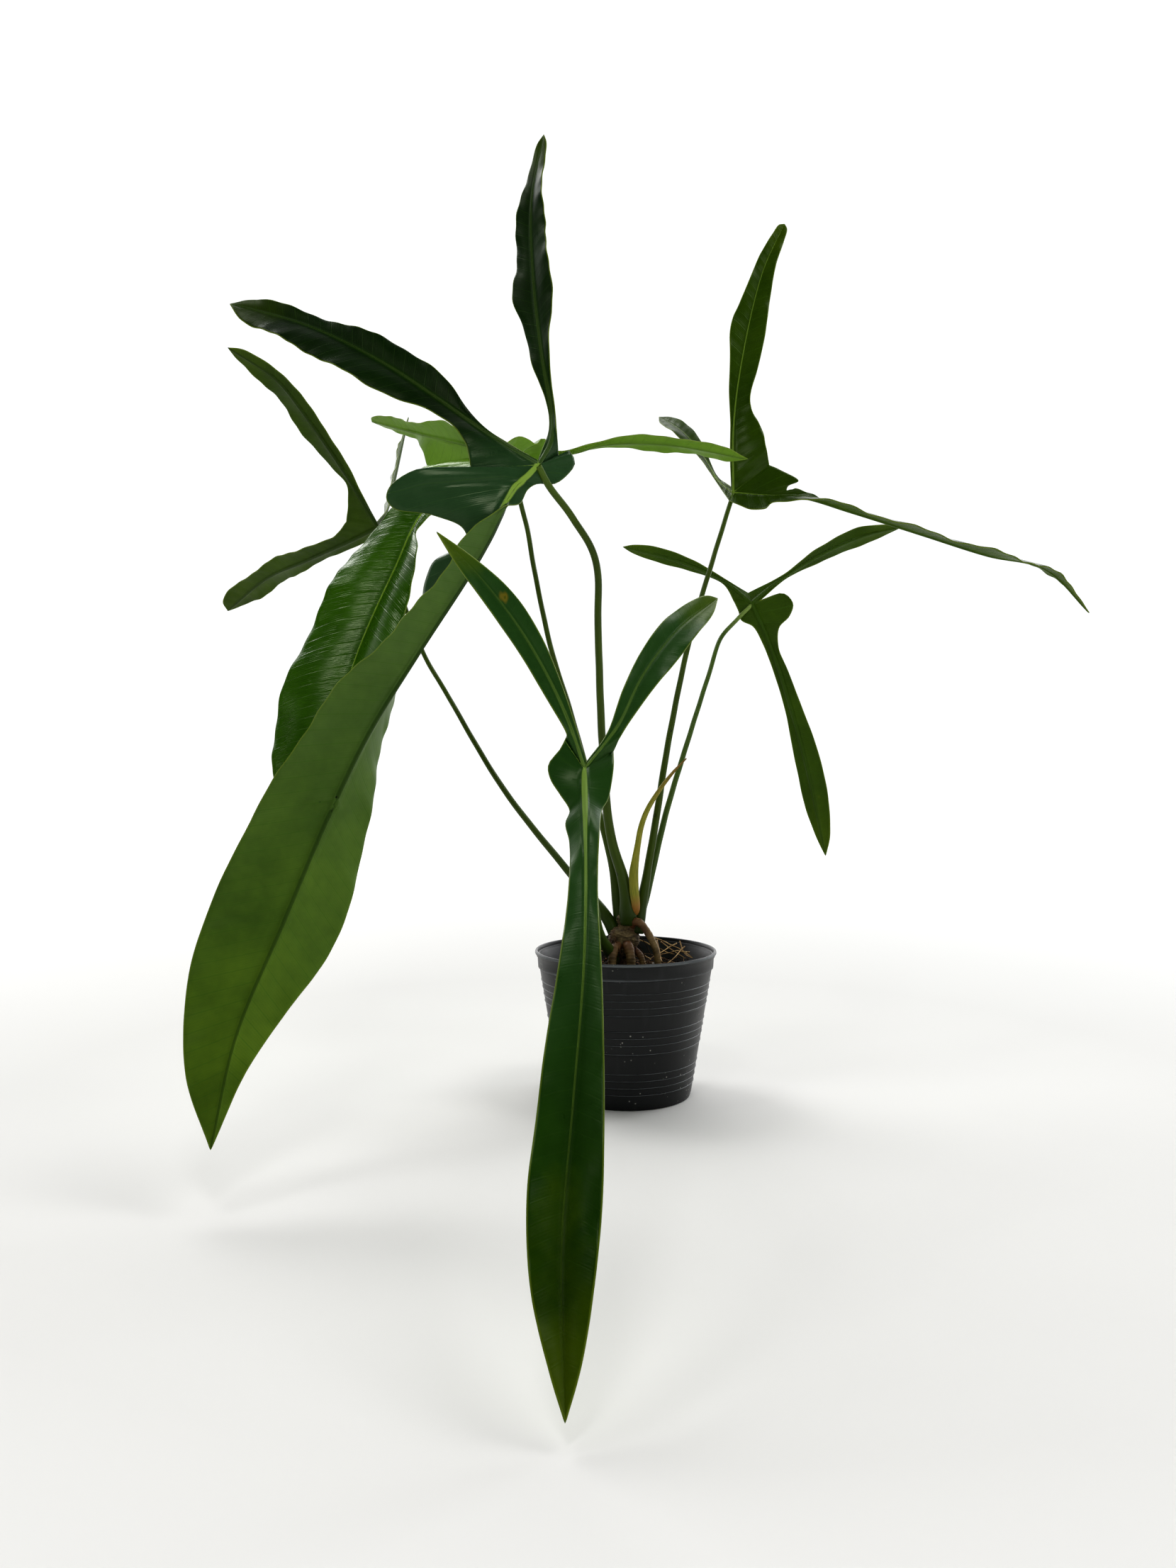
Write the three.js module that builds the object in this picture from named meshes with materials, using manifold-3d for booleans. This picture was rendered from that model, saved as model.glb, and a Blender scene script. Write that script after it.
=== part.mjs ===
// Potted aroid: six long three-lobed leaves on thin petioles from one short stem, in a round nursery pot.
// Millimetres, +Z up. The origin is the centre of the pot's underside, and the plant is seen from -Y.
import * as THREE from "three";
import { mergeVertices } from "three/addons/utils/BufferGeometryUtils.js";
import Module from "manifold-3d";

const wasm = await Module();
wasm.setup();

// pot
const rimRadius = 65, baseRadius = 46.5, potHeight = 103;
const wall = 1.6, floorThickness = 2, footBevel = 1.5;
const lipHeight = 4, lipOut = 2.2, lipRound = 1.2, lipWidth = 4.6;
const bandHeight = 12, bandStep = 1;
const ringHeights = [11, 16, 21, 26, 40, 46, 51, 56, 67, 72, 77, 82];
const ringOut = 0.6, ringHalf = 0.9;
const drainHoles = 6, drainRadius = 4, drainCircle = 31;
const potSegments = 32;

// soil
const soilTop = 88, soilMound = 2.2;

// stem: radius along it, swollen at the nodes that old leaves left
const stemRadius = 9.2;
const stemPath = [[-3, 0, 60], [-4, 0, 90], [-2, 0, 112], [0, 0, 127]];
const stemRadii = [
  [0, 7], [0.2, 8.6], [0.45, stemRadius], [0.55, stemRadius + 0.8], [0.62, stemRadius],
  [0.74, stemRadius + 0.9], [0.82, stemRadius], [0.92, 8.4], [1, 6.2],
];
const roots = [
  { path: [[4, -4, 120], [9, -9, 124], [14, -13, 119], [19, -17, 107], [22, -18, 94], [22.5, -18, 80]],
    radii: [[0, 2.6], [0.5, 2.1], [1, 1.6]], steps: 12 },
  { path: [[-4, -6, 104], [-7, -12, 99], [-8, -16.5, 91], [-8, -17, 80]], radii: [[0, 2.4], [1, 1.8]], steps: 7 },
  { path: [[0, -7, 103], [2, -13, 98], [3.5, -17.5, 91], [4, -18, 80]], radii: [[0, 2.6], [1, 2]], steps: 7 },
  { path: [[5, -6, 104], [11, -8, 99], [14, -9.5, 91], [14.5, -10, 80]], radii: [[0, 2.3], [1, 1.6]], steps: 7 },
];

// leaves
const bladeHalf = 0.42; // half the thickness of a blade at its margin
const veinLean = 0.6; // how far side veins run forward for each millimetre out from the rib
const calmHub = 35; // the blade lies flat at the hub and takes its full wave this far along a rib
const gap = 0.35; // clearance between pieces that touch

const colours = {
  pot: 0x2a2c2e, soil: 0x2e241c, stem: 0x6b5236, sheath: 0x9aa04a, petiole: 0x4a6318, blade: 0x2a4d1a,
};

// A leaf is a star of ribs from one hub, anticlockwise as seen from above. For each rib:
//   path      points from the hub to the lobe's tip
//   face      [t, x, y, z]: the way the upper side looks at the fraction t of the rib
//   left      margin knots [s, w, lift]: s along the rib, w out from it, lift in degrees towards the face;
//   right     or, round the ears, [x, y, z, base] with base the place on the rib that it is drawn from
//   stations  places along the rib where the blade is divided, or steps, their number
// webs[i] is where the margin comes nearest to the hub between rib i and the next. wave is the height, length
// and phase of the margin's waves, camber the rise of the blade between rib and margin.
const leaves = {
  // The large front leaf. Its long lobe turns right over below the hub, so it shows its underside from there on.
  a: {
    ribRoot: 2.1,
    wave: [1.8, 62, 0.4],
    camber: 0.05,
    ribs: [
      { // long lobe
        path: [
          [-60, -66, 435], [-77, -74, 414], [-91, -86, 382], [-102, -94, 360], [-129, -116, 311],
          [-159, -138, 256], [-180, -156, 205], [-200, -178, 147], [-220, -201, 88], [-226, -226, 34],
        ],
        face: [
          [0, -0.1, -0.85, 0.5], [0.06, -0.6, -0.75, 0.3], [0.13, -0.97, -0.2, 0.2],
          [0.3, -0.95, 0.2, 0.2], [0.46, -0.75, 0.6, -0.1], [0.62, -0.45, 0.85, -0.2],
          [1, -0.2, 0.97, -0.3],
        ],
        left: [
          [-40, -52, 448, 1], [-36, -46, 441, 3], [-41, -50, 432, 6], [-50, -57, 424, 10],
          [-61, -62, 423, 14], [-67, -68, 418, 18], [-72, -70, 409, 24], [42, 4, 40], [56, 9, 52],
          [72, 14, 52], [95, 16, 48], [130, 15, 42], [165, 21, 32], [200, 27, 22], [240, 32, 16],
          [300, 39, 12], [345, 41, 12], [385, 36, 10], [430, 21, 8],
        ],
        right: [
          [-114, -74, 427, 3], [-136, -79, 428, 7], [-155, -80, 418, 12], [-158, -79, 409, 17],
          [-152, -78, 402, 22], [-128, -77, 399, 32], [-110, -76, 392, 44], [-108, -76, 385, 52],
          [-118, -74, 376, 62], [-128, -72, 368, 74], [-132, -78, 346, 94], [135, 25, 52], [180, 22, 38],
          [240, 27, 20], [300, 33, 12], [345, 33, 12], [385, 22, 10], [425, 10, 8],
        ],
        stations: [
          0, 5, 11, 17, 23, 31, 42, 53, 64, 78, 95, 118, 145, 175, 210, 245, 280, 315, 350, 385, 415, 440,
          457,
        ],
      },
      { // up lobe
        path: [
          [-60, -66, 435], [-52, -62, 450], [-51, -56, 469], [-58, -46, 515], [-64, -34, 568],
          [-66, -26, 626], [-58, -20, 678],
        ],
        face: [[0, -0.1, -0.85, 0.5], [0.2, -0.5, -0.8, 0.2], [1, -0.55, -0.8, 0.1]],
        left: [
          [30, 2.4], [52, 3], [65, 5], [80, 8], [112, 12], [132, 16], [155, 13], [178, 12], [203, 9],
          [230, 5],
        ],
        right: [
          [26, 3.5], [45, 2.8], [60, 3], [78, 6], [100, 10], [125, 15], [150, 16], [178, 13], [205, 10],
          [230, 6],
        ],
        steps: 10,
      },
      { // left lobe
        path: [
          [-60, -66, 435], [-96, -64, 457], [-126, -60, 479], [-165, -54, 506], [-214, -48, 532],
          [-272, -41, 551],
        ],
        face: [[0, -0.1, -0.85, 0.5], [0.3, 0.1, -0.9, 0.4], [1, 0.1, -0.9, 0.4]],
        left: [
          [48, 15], [74, 13], [99, 19], [125, 25], [146, 25], [181, 23], [205, 19], [228, 13], [236, 8],
        ],
        right: [
          [20, 2], [44, 3], [65, 8], [84, 14], [115, 17], [137, 17], [156, 13], [178, 10], [202, 10],
          [226, 9], [236, 6],
        ],
        steps: 11,
      },
    ],
    webs: [[-47, -51, 442], [-67, -64, 441], [-104, -70, 430]],
  },
  // The wide leaf behind it, on the left.
  b: {
    ribRoot: 1.8,
    wave: [2.2, 70, 1.1],
    camber: 0.08,
    ribs: [
      { // long lobe
        path: [
          [-78, 54, 473], [-114, 34, 453], [-147, 12, 419], [-164, -8, 375], [-185, -28, 318],
          [-200, -46, 259], [-217, -58, 188],
        ],
        face: [[0, 0, -0.1, 1], [0.15, -0.3, -0.6, 0.7], [0.35, -0.4, -0.85, 0.3], [1, -0.3, -0.95, 0.1]],
        left: [
          [-61, 34, 480, 3], [-67, 36, 476, 6], [-78, 30, 479, 11], [-90, 26, 473, 18], [60, 13], [97, 9],
          [117, 5], [134, 16], [152, 24], [180, 30], [220, 33], [270, 31], [320, 17],
        ],
        right: [
          [-122, 74, 474, 6], [-150, 78, 470, 14], [-156, 70, 465, 21], [-140, 58, 460, 29],
          [-126, 44, 453, 42], [97, 20], [122, 27], [150, 35], [190, 37], [231, 39], [275, 40], [316, 29],
        ],
        stations: [0, 4, 9, 15, 22, 32, 46, 62, 82, 102, 122, 145, 175, 205, 240, 275, 305, 330],
      },
      { // right lobe
        path: [[-78, 54, 473], [-40, 39, 470], [-16, 34, 475], [31, 26, 473], [91, 22, 461]],
        face: [[0, 0, -0.1, 1], [0.4, 0.1, 0.35, 0.9], [1, 0.1, 0.5, 0.8]],
        left: [[30, 2], [55, 4], [90, 9], [125, 10], [158, 8]],
        right: [[20, 3.5], [36, 2.8], [55, 4], [90, 6], [125, 7], [158, 5]],
        steps: 9,
      },
      { // left lobe
        path: [[-78, 54, 473], [-115, 74, 484], [-158, 104, 501], [-208, 139, 522]],
        face: [[0, 0, -0.1, 1], [0.4, 0.1, 0.4, 0.8], [1, 0.2, 0.4, 0.8]],
        left: [[26, 3.5], [48, 5], [65, 8], [95, 11], [130, 9], [160, 5]],
        right: [[30, 3], [60, 12], [95, 17], [130, 14], [160, 7]],
        steps: 9,
      },
    ],
    webs: [[-66, 43, 473], [-76, 60, 477], [-90, 57, 474]],
  },
  // The small olive leaf at the far left.
  c: {
    ribRoot: 1.6,
    wave: [1.4, 55, 2],
    camber: 0.06,
    ribs: [
      { // lower left lobe
        path: [[-197, 104, 427], [-222, 114, 417], [-264, 139, 405], [-302, 164, 395], [-347, 199, 371]],
        face: [[0, 0, 0.3, 0.95], [0.3, -0.1, 0.6, 0.8], [1, -0.1, 0.7, 0.7]],
        left: [[40, 9], [75, 12], [110, 12], [150, 10], [180, 8]],
        right: [[50, 8], [80, 9], [120, 14], [155, 17], [180, 15]],
        steps: 10,
      },
      { // upper left lobe
        path: [[-197, 104, 427], [-220, 94, 466], [-249, 79, 509], [-270, 69, 535], [-304, 59, 556]],
        face: [[0, 0, 0.3, 0.95], [0.25, 0.3, 0.8, 0.4], [1, 0.3, 0.8, 0.5]],
        left: [[30, 3], [60, 6], [95, 7], [130, 7], [160, 5]],
        right: [[40, 5], [60, 10], [90, 14], [125, 13], [158, 8]],
        steps: 9,
      },
      { // back lobe
        path: [[-197, 104, 427], [-194, 129, 446], [-194, 164, 476], [-192, 234, 553]],
        face: [[0, 0, 0.3, 0.95], [0.3, -0.8, 0, 0.5], [1, -0.97, 0, 0.2]],
        left: [[30, 2], [60, 7], [100, 11], [135, 7]],
        right: [[30, 2], [60, 7], [100, 11], [135, 7]],
        steps: 7,
      },
    ],
    webs: [[-222, 104, 431], [-198, 106, 431], [-190, 108, 423]],
  },
  // The leaf that hangs forward over the pot's rim, almost down to the floor.
  d: {
    ribRoot: 1.6,
    wave: [1, 48, 0.7],
    camber: 0.05,
    ribs: [
      { // long lobe
        path: [
          [-29, -246, 235], [-28, -286, 189], [-29, -326, 145], [-33, -364, 100], [-37, -401, 54],
          [-35, -436, 9],
        ],
        face: [[0, 0, -0.7, 0.72], [1, 0, -0.72, 0.7]],
        left: [
          [-14, -242, 237, 4], [-15, -246, 229, 9], [-17, -251, 220, 15], [-20, -256, 215, 20], [45, 7],
          [75, 6.5], [120, 10], [150, 12], [190, 14], [225, 15], [255, 12], [280, 6],
        ],
        right: [
          [-41, -245, 245, 2], [-47, -246, 237, 5], [-46, -248, 230, 9], [-41, -252, 222, 14],
          [-36, -257, 214, 19], [-38, -263, 208, 26], [-36, -271, 200, 36], [75, 8], [120, 11], [150, 13],
          [190, 14], [225, 14], [255, 11], [280, 5],
        ],
        stations: [0, 4, 9, 15, 21, 28, 38, 55, 80, 110, 140, 170, 200, 228, 252, 270, 284],
      },
      { // right lobe
        path: [[-29, -246, 235], [-12, -231, 256], [2, -210, 284], [23, -184, 312], [49, -156, 334]],
        face: [[0, 0, -0.7, 0.72], [0.4, 0.2, -0.85, 0.4], [1, 0.2, -0.85, 0.45]],
        left: [[25, 2.5], [55, 6], [85, 8], [115, 9], [142, 7], [152, 4]],
        right: [[30, 4], [60, 8], [90, 11], [118, 10], [142, 6]],
        steps: 9,
      },
      { // left lobe
        path: [[-29, -246, 235], [-39, -246, 264], [-57, -244, 299], [-78, -242, 328], [-105, -240, 357]],
        face: [[0, 0, -0.7, 0.72], [0.4, -0.1, -0.9, 0.3], [1, -0.1, -0.9, 0.3]],
        left: [[20, 3], [45, 6], [70, 7], [100, 7], [128, 4]],
        right: [[20, 2.5], [45, 4.5], [70, 7], [95, 8], [125, 4]],
        steps: 9,
      },
    ],
    webs: [[-14, -234, 244], [-28, -244, 238], [-38, -244, 251]],
  },
  // The upper right leaf, with its long lobe level and seen edge on.
  e: {
    ribRoot: 1.5,
    wave: [1.2, 60, 1.7],
    camber: 0.05,
    ribs: [
      { // long lobe
        path: [
          [84, 54, 443], [112, 54, 441], [137, 54, 440], [174, 54, 429], [231, 59, 412], [282, 64, 397],
          [329, 69, 387], [365, 74, 354],
        ],
        face: [[0, 0.1, -0.45, 0.9], [0.2, 0.24, -0.2, 0.9], [1, 0.24, -0.2, 0.9]],
        left: [
          [120, 55, 461, 8], [134, 54, 453, 16], [126, 54, 449, 22], [125, 54, 446, 28],
          [132, 55, 446, 36], [78, 11], [110, 19], [170, 22], [220, 20], [265, 11],
        ],
        right: [
          [88, 42, 431, 6], [96, 39, 427, 12], [106, 40, 428, 20], [113, 44, 434, 30], [70, 11], [110, 19],
          [170, 22], [220, 20], [265, 11],
        ],
        lift: 7,
        stations: [0, 5, 11, 18, 25, 33, 44, 60, 85, 115, 145, 175, 205, 235, 262, 282],
      },
      { // up lobe
        path: [[84, 54, 443], [85, 59, 496], [93, 69, 551], [111, 84, 624], [130, 94, 667]],
        face: [[0, 0.1, -0.45, 0.9], [0.2, 0, -0.95, 0.2], [1, 0, -0.95, 0.1]],
        left: [
          [30, 2], [55, 2.5], [80, 6], [104, 9], [128, 13.5], [142, 13.5], [155, 11], [178, 8], [200, 7],
          [224, 5],
        ],
        right: [
          [35, 25], [50, 22], [68, 12], [80, 10.5], [101, 13], [127, 14], [160, 12], [195, 7], [222, 5],
        ],
        steps: 11,
      },
      { // back lobe
        path: [[84, 54, 443], [74, 74, 458], [67, 99, 480], [53, 129, 509], [34, 164, 533]],
        face: [[0, 0.1, -0.45, 0.9], [0.4, -0.1, -0.5, 0.85], [1, -0.3, -0.4, 0.85]],
        left: [[40, 2], [70, 4], [105, 8], [138, 6]],
        right: [[30, 2], [70, 4], [105, 8], [138, 6]],
        steps: 8,
      },
    ],
    webs: [[112, 57, 465], [83, 56, 448], [81, 50, 436]],
  },
  // The small leaf at the right, seen from below.
  f: {
    ribRoot: 1.5,
    wave: [1, 50, 2.6],
    camber: 0.05,
    ribs: [
      { // long lobe
        path: [[101, 74, 361], [115, 69, 328], [130, 62, 278], [142, 56, 229], [154, 50, 166]],
        face: [[0, 0.1, 0.9, 0.4], [1, 0.3, 0.9, 0.2]],
        left: [
          [91, 74, 355, 4], [93, 73, 348, 10], [102, 72, 343, 18], [109, 70, 330, 30], [60, 4.5], [90, 5],
          [130, 8], [165, 8], [190, 4],
        ],
        right: [
          [126, 75, 369, 4], [133, 73, 361, 8], [130, 72, 351, 13], [122, 71, 342, 20], [121, 68, 326, 32],
          [60, 6], [90, 8], [130, 11], [165, 10], [190, 6],
        ],
        stations: [0, 4, 9, 15, 22, 32, 50, 75, 100, 125, 150, 172, 190],
      },
      { // left lobe
        path: [[101, 74, 361], [80, 79, 379], [48, 86, 395], [1, 94, 409]],
        face: [[0, 0.1, 0.9, 0.4], [1, 0.1, 0.8, 0.6]],
        left: [[28, 2], [60, 5], [85, 6], [105, 4]],
        right: [[28, 2], [60, 5], [85, 6], [105, 4]],
        steps: 8,
      },
      { // right lobe
        path: [[101, 74, 361], [131, 79, 385], [163, 86, 404], [195, 94, 418], [225, 102, 426]],
        face: [[0, 0.1, 0.9, 0.4], [1, -0.1, 0.8, 0.6]],
        left: [[35, 2], [70, 6], [105, 8], [130, 5]],
        right: [[35, 2], [70, 6], [105, 8], [130, 5]],
        steps: 8,
      },
    ],
    webs: [[88, 75, 362], [99, 80, 370], [107, 73, 363]],
  },
};

// petioles: the path from the crown to the hub, and the radius along it
const petioles = {
  a: {
    path: [
      [1, -4, 118], [1, -5, 132], [-11, -9, 186], [-17, -21, 253], [-20, -34, 328], [-22, -44, 376],
      [-37, -52, 402], [-53, -61, 422], [-60, -66, 435],
    ],
    radii: [[0, 5], [0.05, 4.4], [0.2, 3], [0.6, 2.6], [1, 2.4]],
    steps: 18,
  },
  b: {
    path: [
      [-3, 4, 118], [-5, 5, 132], [-10, 6, 166], [-29, 14, 235], [-41, 20, 278], [-54, 28, 320],
      [-67, 39, 380], [-73, 46, 414], [-80, 51, 445], [-78, 54, 473],
    ],
    radii: [[0, 3.6], [0.15, 2.8], [0.6, 2], [1, 1.9]],
    steps: 14,
  },
  c: {
    path: [
      [-6, 1, 112], [-14, 3, 126], [-42, 16, 158], [-91, 44, 217], [-137, 72, 290], [-158, 84, 325], [-197, 104, 427],
    ],
    radii: [[0, 3.6], [0.15, 2.6], [0.6, 1.9], [1, 1.7]],
    steps: 14,
  },
  d: {
    path: [[-5, -5, 106], [-14, -18, 108], [-19, -46, 124], [-24, -126, 166], [-27, -196, 205], [-29, -246, 235]],
    radii: [[0, 3.6], [0.15, 2.8], [0.6, 2.2], [1, 1.9]],
    steps: 12,
  },
  e: {
    path: [
      [8, -1, 117], [11, -1, 132], [22, 6, 194], [32, 14, 253], [49, 29, 330], [67, 42, 389], [84, 54, 443],
    ],
    radii: [[0, 3.6], [0.15, 2.9], [0.6, 2.1], [1, 1.8]],
    steps: 13,
  },
  f: {
    path: [
      [6, 6, 116], [13, 9, 132], [31, 22, 201], [48, 34, 254], [66, 49, 307], [75, 59, 332], [90, 69, 349],
      [101, 74, 361],
    ],
    radii: [[0, 3.4], [0.15, 2.6], [0.6, 1.9], [1, 1.6]],
    steps: 12,
  },
};

// the papery sheath that wrapped the last new leaf
const cataphyll = {
  path: [
    [7, -8, 119], [9, -12.5, 132], [7, -15, 155], [8, -13, 181], [14, -11, 197], [23, -7, 216], [34, -2, 230],
    [44, 3, 240],
  ],
  radii: [[0, 2.6], [0.1, 2.8], [0.3, 3.4], [0.5, 2.7], [0.8, 1.6], [1, 0.7]],
  steps: 12,
};

const stalkSides = 8, stemSides = 14, stemSteps = 14;

const toVector = ([x, y, z]) => new THREE.Vector3(x, y, z);

// A straight-line reading of a table of [x, value, ...] rows.
function readTable(table, x, column = 1) {
  if (x <= table[0][0]) return table[0][column];
  for (let i = 1; i < table.length; i++) {
    if (x <= table[i][0]) {
      const f = (x - table[i - 1][0]) / (table[i][0] - table[i - 1][0]);
      return table[i - 1][column] * (1 - f) + table[i][column] * f;
    }
  }
  return table[table.length - 1][column];
}

function smoothLine(points) {
  return new THREE.CatmullRomCurve3(points, false, "centripetal");
}

// A rib's line, and at each place on it the way it runs, the way the upper side looks, and its own left.
function makeRib(rib) {
  const fineSteps = 200;
  const line = smoothLine(rib.path.map(toVector)).getSpacedPoints(fineSteps);
  const length = line.reduce((sum, p, i) => (i ? sum + p.distanceTo(line[i - 1]) : 0), 0);
  const at = (s) => {
    const t = THREE.MathUtils.clamp(s / length, 0, 1);
    const i = Math.min(Math.floor(t * fineSteps), fineSteps - 1);
    const point = line[i].clone().lerp(line[i + 1], t * fineSteps - i);
    const along = line[Math.min(i + 3, fineSteps)].clone().sub(line[Math.max(i - 2, 0)]).normalize();
    const face = toVector([1, 2, 3].map((column) => readTable(rib.face, t, column)));
    face.addScaledVector(along, -face.dot(along)).normalize();
    return { point, along, face, left: face.clone().cross(along) };
  };
  return { ...rib, line, length, at };
}

// The margin on one side of a rib, as a function of the place on the rib that a side vein leaves from.
function marginLine(rib, side, web) {
  const usualLift = 12;
  const points = [toVector(web)], bases = [0];
  for (const knot of rib[side]) {
    if (knot.length === 4) {
      points.push(toVector(knot));
      bases.push(knot[3]);
      continue;
    }
    const [s, w, lift = rib.lift ?? usualLift] = knot;
    const frame = rib.at(s);
    const angle = THREE.MathUtils.degToRad(lift);
    const outward = side === "left" ? frame.left : frame.left.clone().negate();
    points.push(frame.point.clone()
      .addScaledVector(outward, w * Math.cos(angle))
      .addScaledVector(frame.face, w * Math.sin(angle)));
    bases.push(Math.max(s - veinLean * w, bases[bases.length - 1] + 2));
  }
  points.push(rib.line[rib.line.length - 1]);
  bases.push(rib.length);
  const curve = smoothLine(points);
  const table = bases.map((s, i) => [s, i / (bases.length - 1)]);
  return (s) => curve.getPoint(readTable(table, s));
}

// The whole blade of a leaf as one closed sheet, thick along its ribs and thin at its margins. From each station
// on a rib a ray runs to the margin on either side, with points where the rib's swelling ends, half way and at
// the margin. Both faces are split into the same triangles. extra thickens it all over.
function leafBlade(leaf, extra = 0) {
  const ribs = leaf.ribs.map(makeRib);
  const points = [], half = [];
  const addPoint = (p, h) => {
    points.push(p);
    half.push(h);
    return points.length - 1;
  };
  const ribHalf = (t) => Math.max(leaf.ribRoot * (1 - t) ** 0.8 + 0.35 * t + 0.25, bladeHalf);
  const hubIndex = addPoint(toVector(leaf.ribs[0].path[0]), ribHalf(0));
  const spines = ribs.map((rib) => {
    const n = rib.stations ? rib.stations.length : rib.steps;
    const list = [];
    for (let i = 0; i <= n; i++) {
      const eased = i / n - 0.085 * Math.sin((2 * Math.PI * i) / n);
      const t = rib.stations ? (i === n ? 1 : rib.stations[i] / rib.length) : eased;
      const frame = rib.at(t * rib.length);
      const index = i === 0 ? hubIndex : addPoint(frame.point, i === n ? bladeHalf : ribHalf(t));
      list.push({ s: t * rib.length, frame, index });
    }
    return list;
  });

  const [waveHeight, waveLength, wavePhase] = leaf.wave;
  const fullWaveReach = 14;
  // the four points of one ray, from its station to the margin point `target`
  const ray = (station, target, sign) => {
    const base = station.frame.point, h = half[station.index];
    const reach = base.distanceTo(target);
    const swelling = Math.min(h * 1.15, reach * 0.45);
    const narrow = reach < 3.2 * h;
    const calm = Math.min(station.s / calmHub, 1);
    const list = [station.index];
    const steps = [
      [swelling, h * (narrow ? 0.72 : 0.5)],
      [(swelling + reach) / 2, narrow ? h * 0.5 : bladeHalf],
      [reach, bladeHalf],
    ];
    for (const [d, thickness] of steps) {
      const v = d / reach;
      const p = base.clone().lerp(target, d === reach ? (reach + extra) / reach : v);
      const ripple = Math.sin((2 * Math.PI * station.s) / waveLength + wavePhase + sign);
      const bend = leaf.camber * reach * Math.sin(Math.PI * v)
        + waveHeight * Math.min(reach / fullWaveReach, 1) * v * v * ripple;
      list.push(addPoint(p.addScaledVector(station.frame.face, bend * calm), Math.max(thickness, bladeHalf)));
    }
    return list;
  };

  const triangles = [], margins = [];
  ribs.forEach((ribA, a) => {
    const b = (a + 1) % ribs.length;
    const marginA = marginLine(ribA, "left", leaf.webs[a]), marginB = marginLine(ribs[b], "right", leaf.webs[a]);
    const spineA = spines[a], spineB = spines[b];
    const rays = spineA.slice(0, -1).reverse().map((station) => ray(station, marginA(station.s), 1));
    rays.push(...spineB.slice(1, -1).map((station) => ray(station, marginB(station.s), -1)));
    const tipA = spineA[spineA.length - 1].index, tipB = spineB[spineB.length - 1].index;
    rays.unshift([tipA, tipA, tipA, tipA]);
    rays.push([tipB, tipB, tipB, tipB]);
    for (let r = 0; r + 1 < rays.length; r++) {
      for (let k = 0; k < 3; k++) {
        const p = rays[r][k], q = rays[r][k + 1], s = rays[r + 1][k + 1], t = rays[r + 1][k];
        if (p !== q && q !== s && p !== s) triangles.push([p, q, s]);
        if (p !== s && s !== t && p !== t) triangles.push([p, s, t]);
      }
      margins.push([rays[r][3], rays[r + 1][3]]);
    }
  });

  const normals = points.map(() => new THREE.Vector3());
  for (const [p, q, s] of triangles) {
    const n = points[q].clone().sub(points[p]).cross(points[s].clone().sub(points[p]));
    for (const i of [p, q, s]) normals[i].add(n);
  }
  const upper = points.map((p, i) => {
    const rise = bladeHalf + (half[i] - bladeHalf) * 0.4 + extra; // the rib stands out less above than below
    return p.clone().addScaledVector(normals[i].normalize(), rise);
  });
  const lower = points.map((p, i) => p.clone().addScaledVector(normals[i], -half[i] - extra));
  const count = points.length;
  const index = [];
  for (const [p, q, s] of triangles) index.push(p, q, s, count + p, count + s, count + q);
  for (const [p, q] of margins) index.push(q, p, count + p, q, count + p, count + q);
  return closedGeometry([...upper, ...lower], index);
}

function closedGeometry(points, index) {
  const geometry = new THREE.BufferGeometry().setFromPoints(points);
  geometry.setIndex(index);
  return geometry;
}

// A round stalk along a path, with its radius from a table along it. extra thickens it all over.
function stalk({ path, radii, steps }, sides, extra = 0) {
  const line = smoothLine(path.map(toVector));
  const frames = line.computeFrenetFrames(steps, false);
  const points = [], index = [];
  for (let i = 0; i <= steps; i++) {
    const radius = readTable(radii, i / steps) + extra;
    for (let j = 0; j < sides; j++) {
      const angle = (2 * Math.PI * j) / sides;
      points.push(line.getPointAt(i / steps)
        .addScaledVector(frames.normals[i], radius * Math.cos(angle))
        .addScaledVector(frames.binormals[i], radius * Math.sin(angle)));
    }
  }
  const foot = points.length, top = foot + 1;
  points.push(line.getPointAt(0), line.getPointAt(1));
  for (let j = 0; j < sides; j++) {
    const next = (j + 1) % sides;
    for (let i = 0; i < steps; i++) {
      const a = i * sides + j, b = i * sides + next, c = a + sides, d = b + sides;
      index.push(a, b, d, a, d, c);
    }
    index.push(foot, next, j, top, steps * sides + j, steps * sides + next);
  }
  return closedGeometry(points, index);
}

function toSolid(geometry) {
  let g = geometry.clone();
  g.deleteAttribute("normal");
  g.deleteAttribute("uv");
  g = mergeVertices(g, 1e-4);
  return new wasm.Manifold(new wasm.Mesh({
    numProp: 3,
    vertProperties: new Float32Array(g.attributes.position.array),
    triVerts: new Uint32Array(g.index.array),
  }));
}

function toGeometry(solid) {
  const mesh = solid.getMesh();
  const geometry = new THREE.BufferGeometry();
  geometry.setAttribute("position", new THREE.Float32BufferAttribute(Float32Array.from(mesh.vertProperties), 3));
  geometry.setIndex(Array.from(mesh.triVerts));
  return geometry;
}

function largestPiece(solid) {
  return solid.decompose().sort((a, b) => b.volume() - a.volume())[0];
}

// A profile of [radius, height] points turned about the Z axis.
function turned(profile) {
  const geometry = new THREE.LatheGeometry(profile.map(([r, z]) => new THREE.Vector2(r, z)), potSegments);
  geometry.rotateX(Math.PI / 2);
  return geometry;
}

const bandFoot = potHeight - bandHeight;
const outerTop = rimRadius - lipOut - bandStep;
const outerRadius = (z) => baseRadius + (outerTop - baseRadius) * (z / bandFoot);
const innerTop = potHeight - 5, innerTopRadius = rimRadius - lipWidth, innerFootRadius = baseRadius - wall - 0.6;
const innerRadius = (z) => innerFootRadius
  + (innerTopRadius - innerFootRadius) * ((z - floorThickness) / (innerTop - floorThickness));

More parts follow.
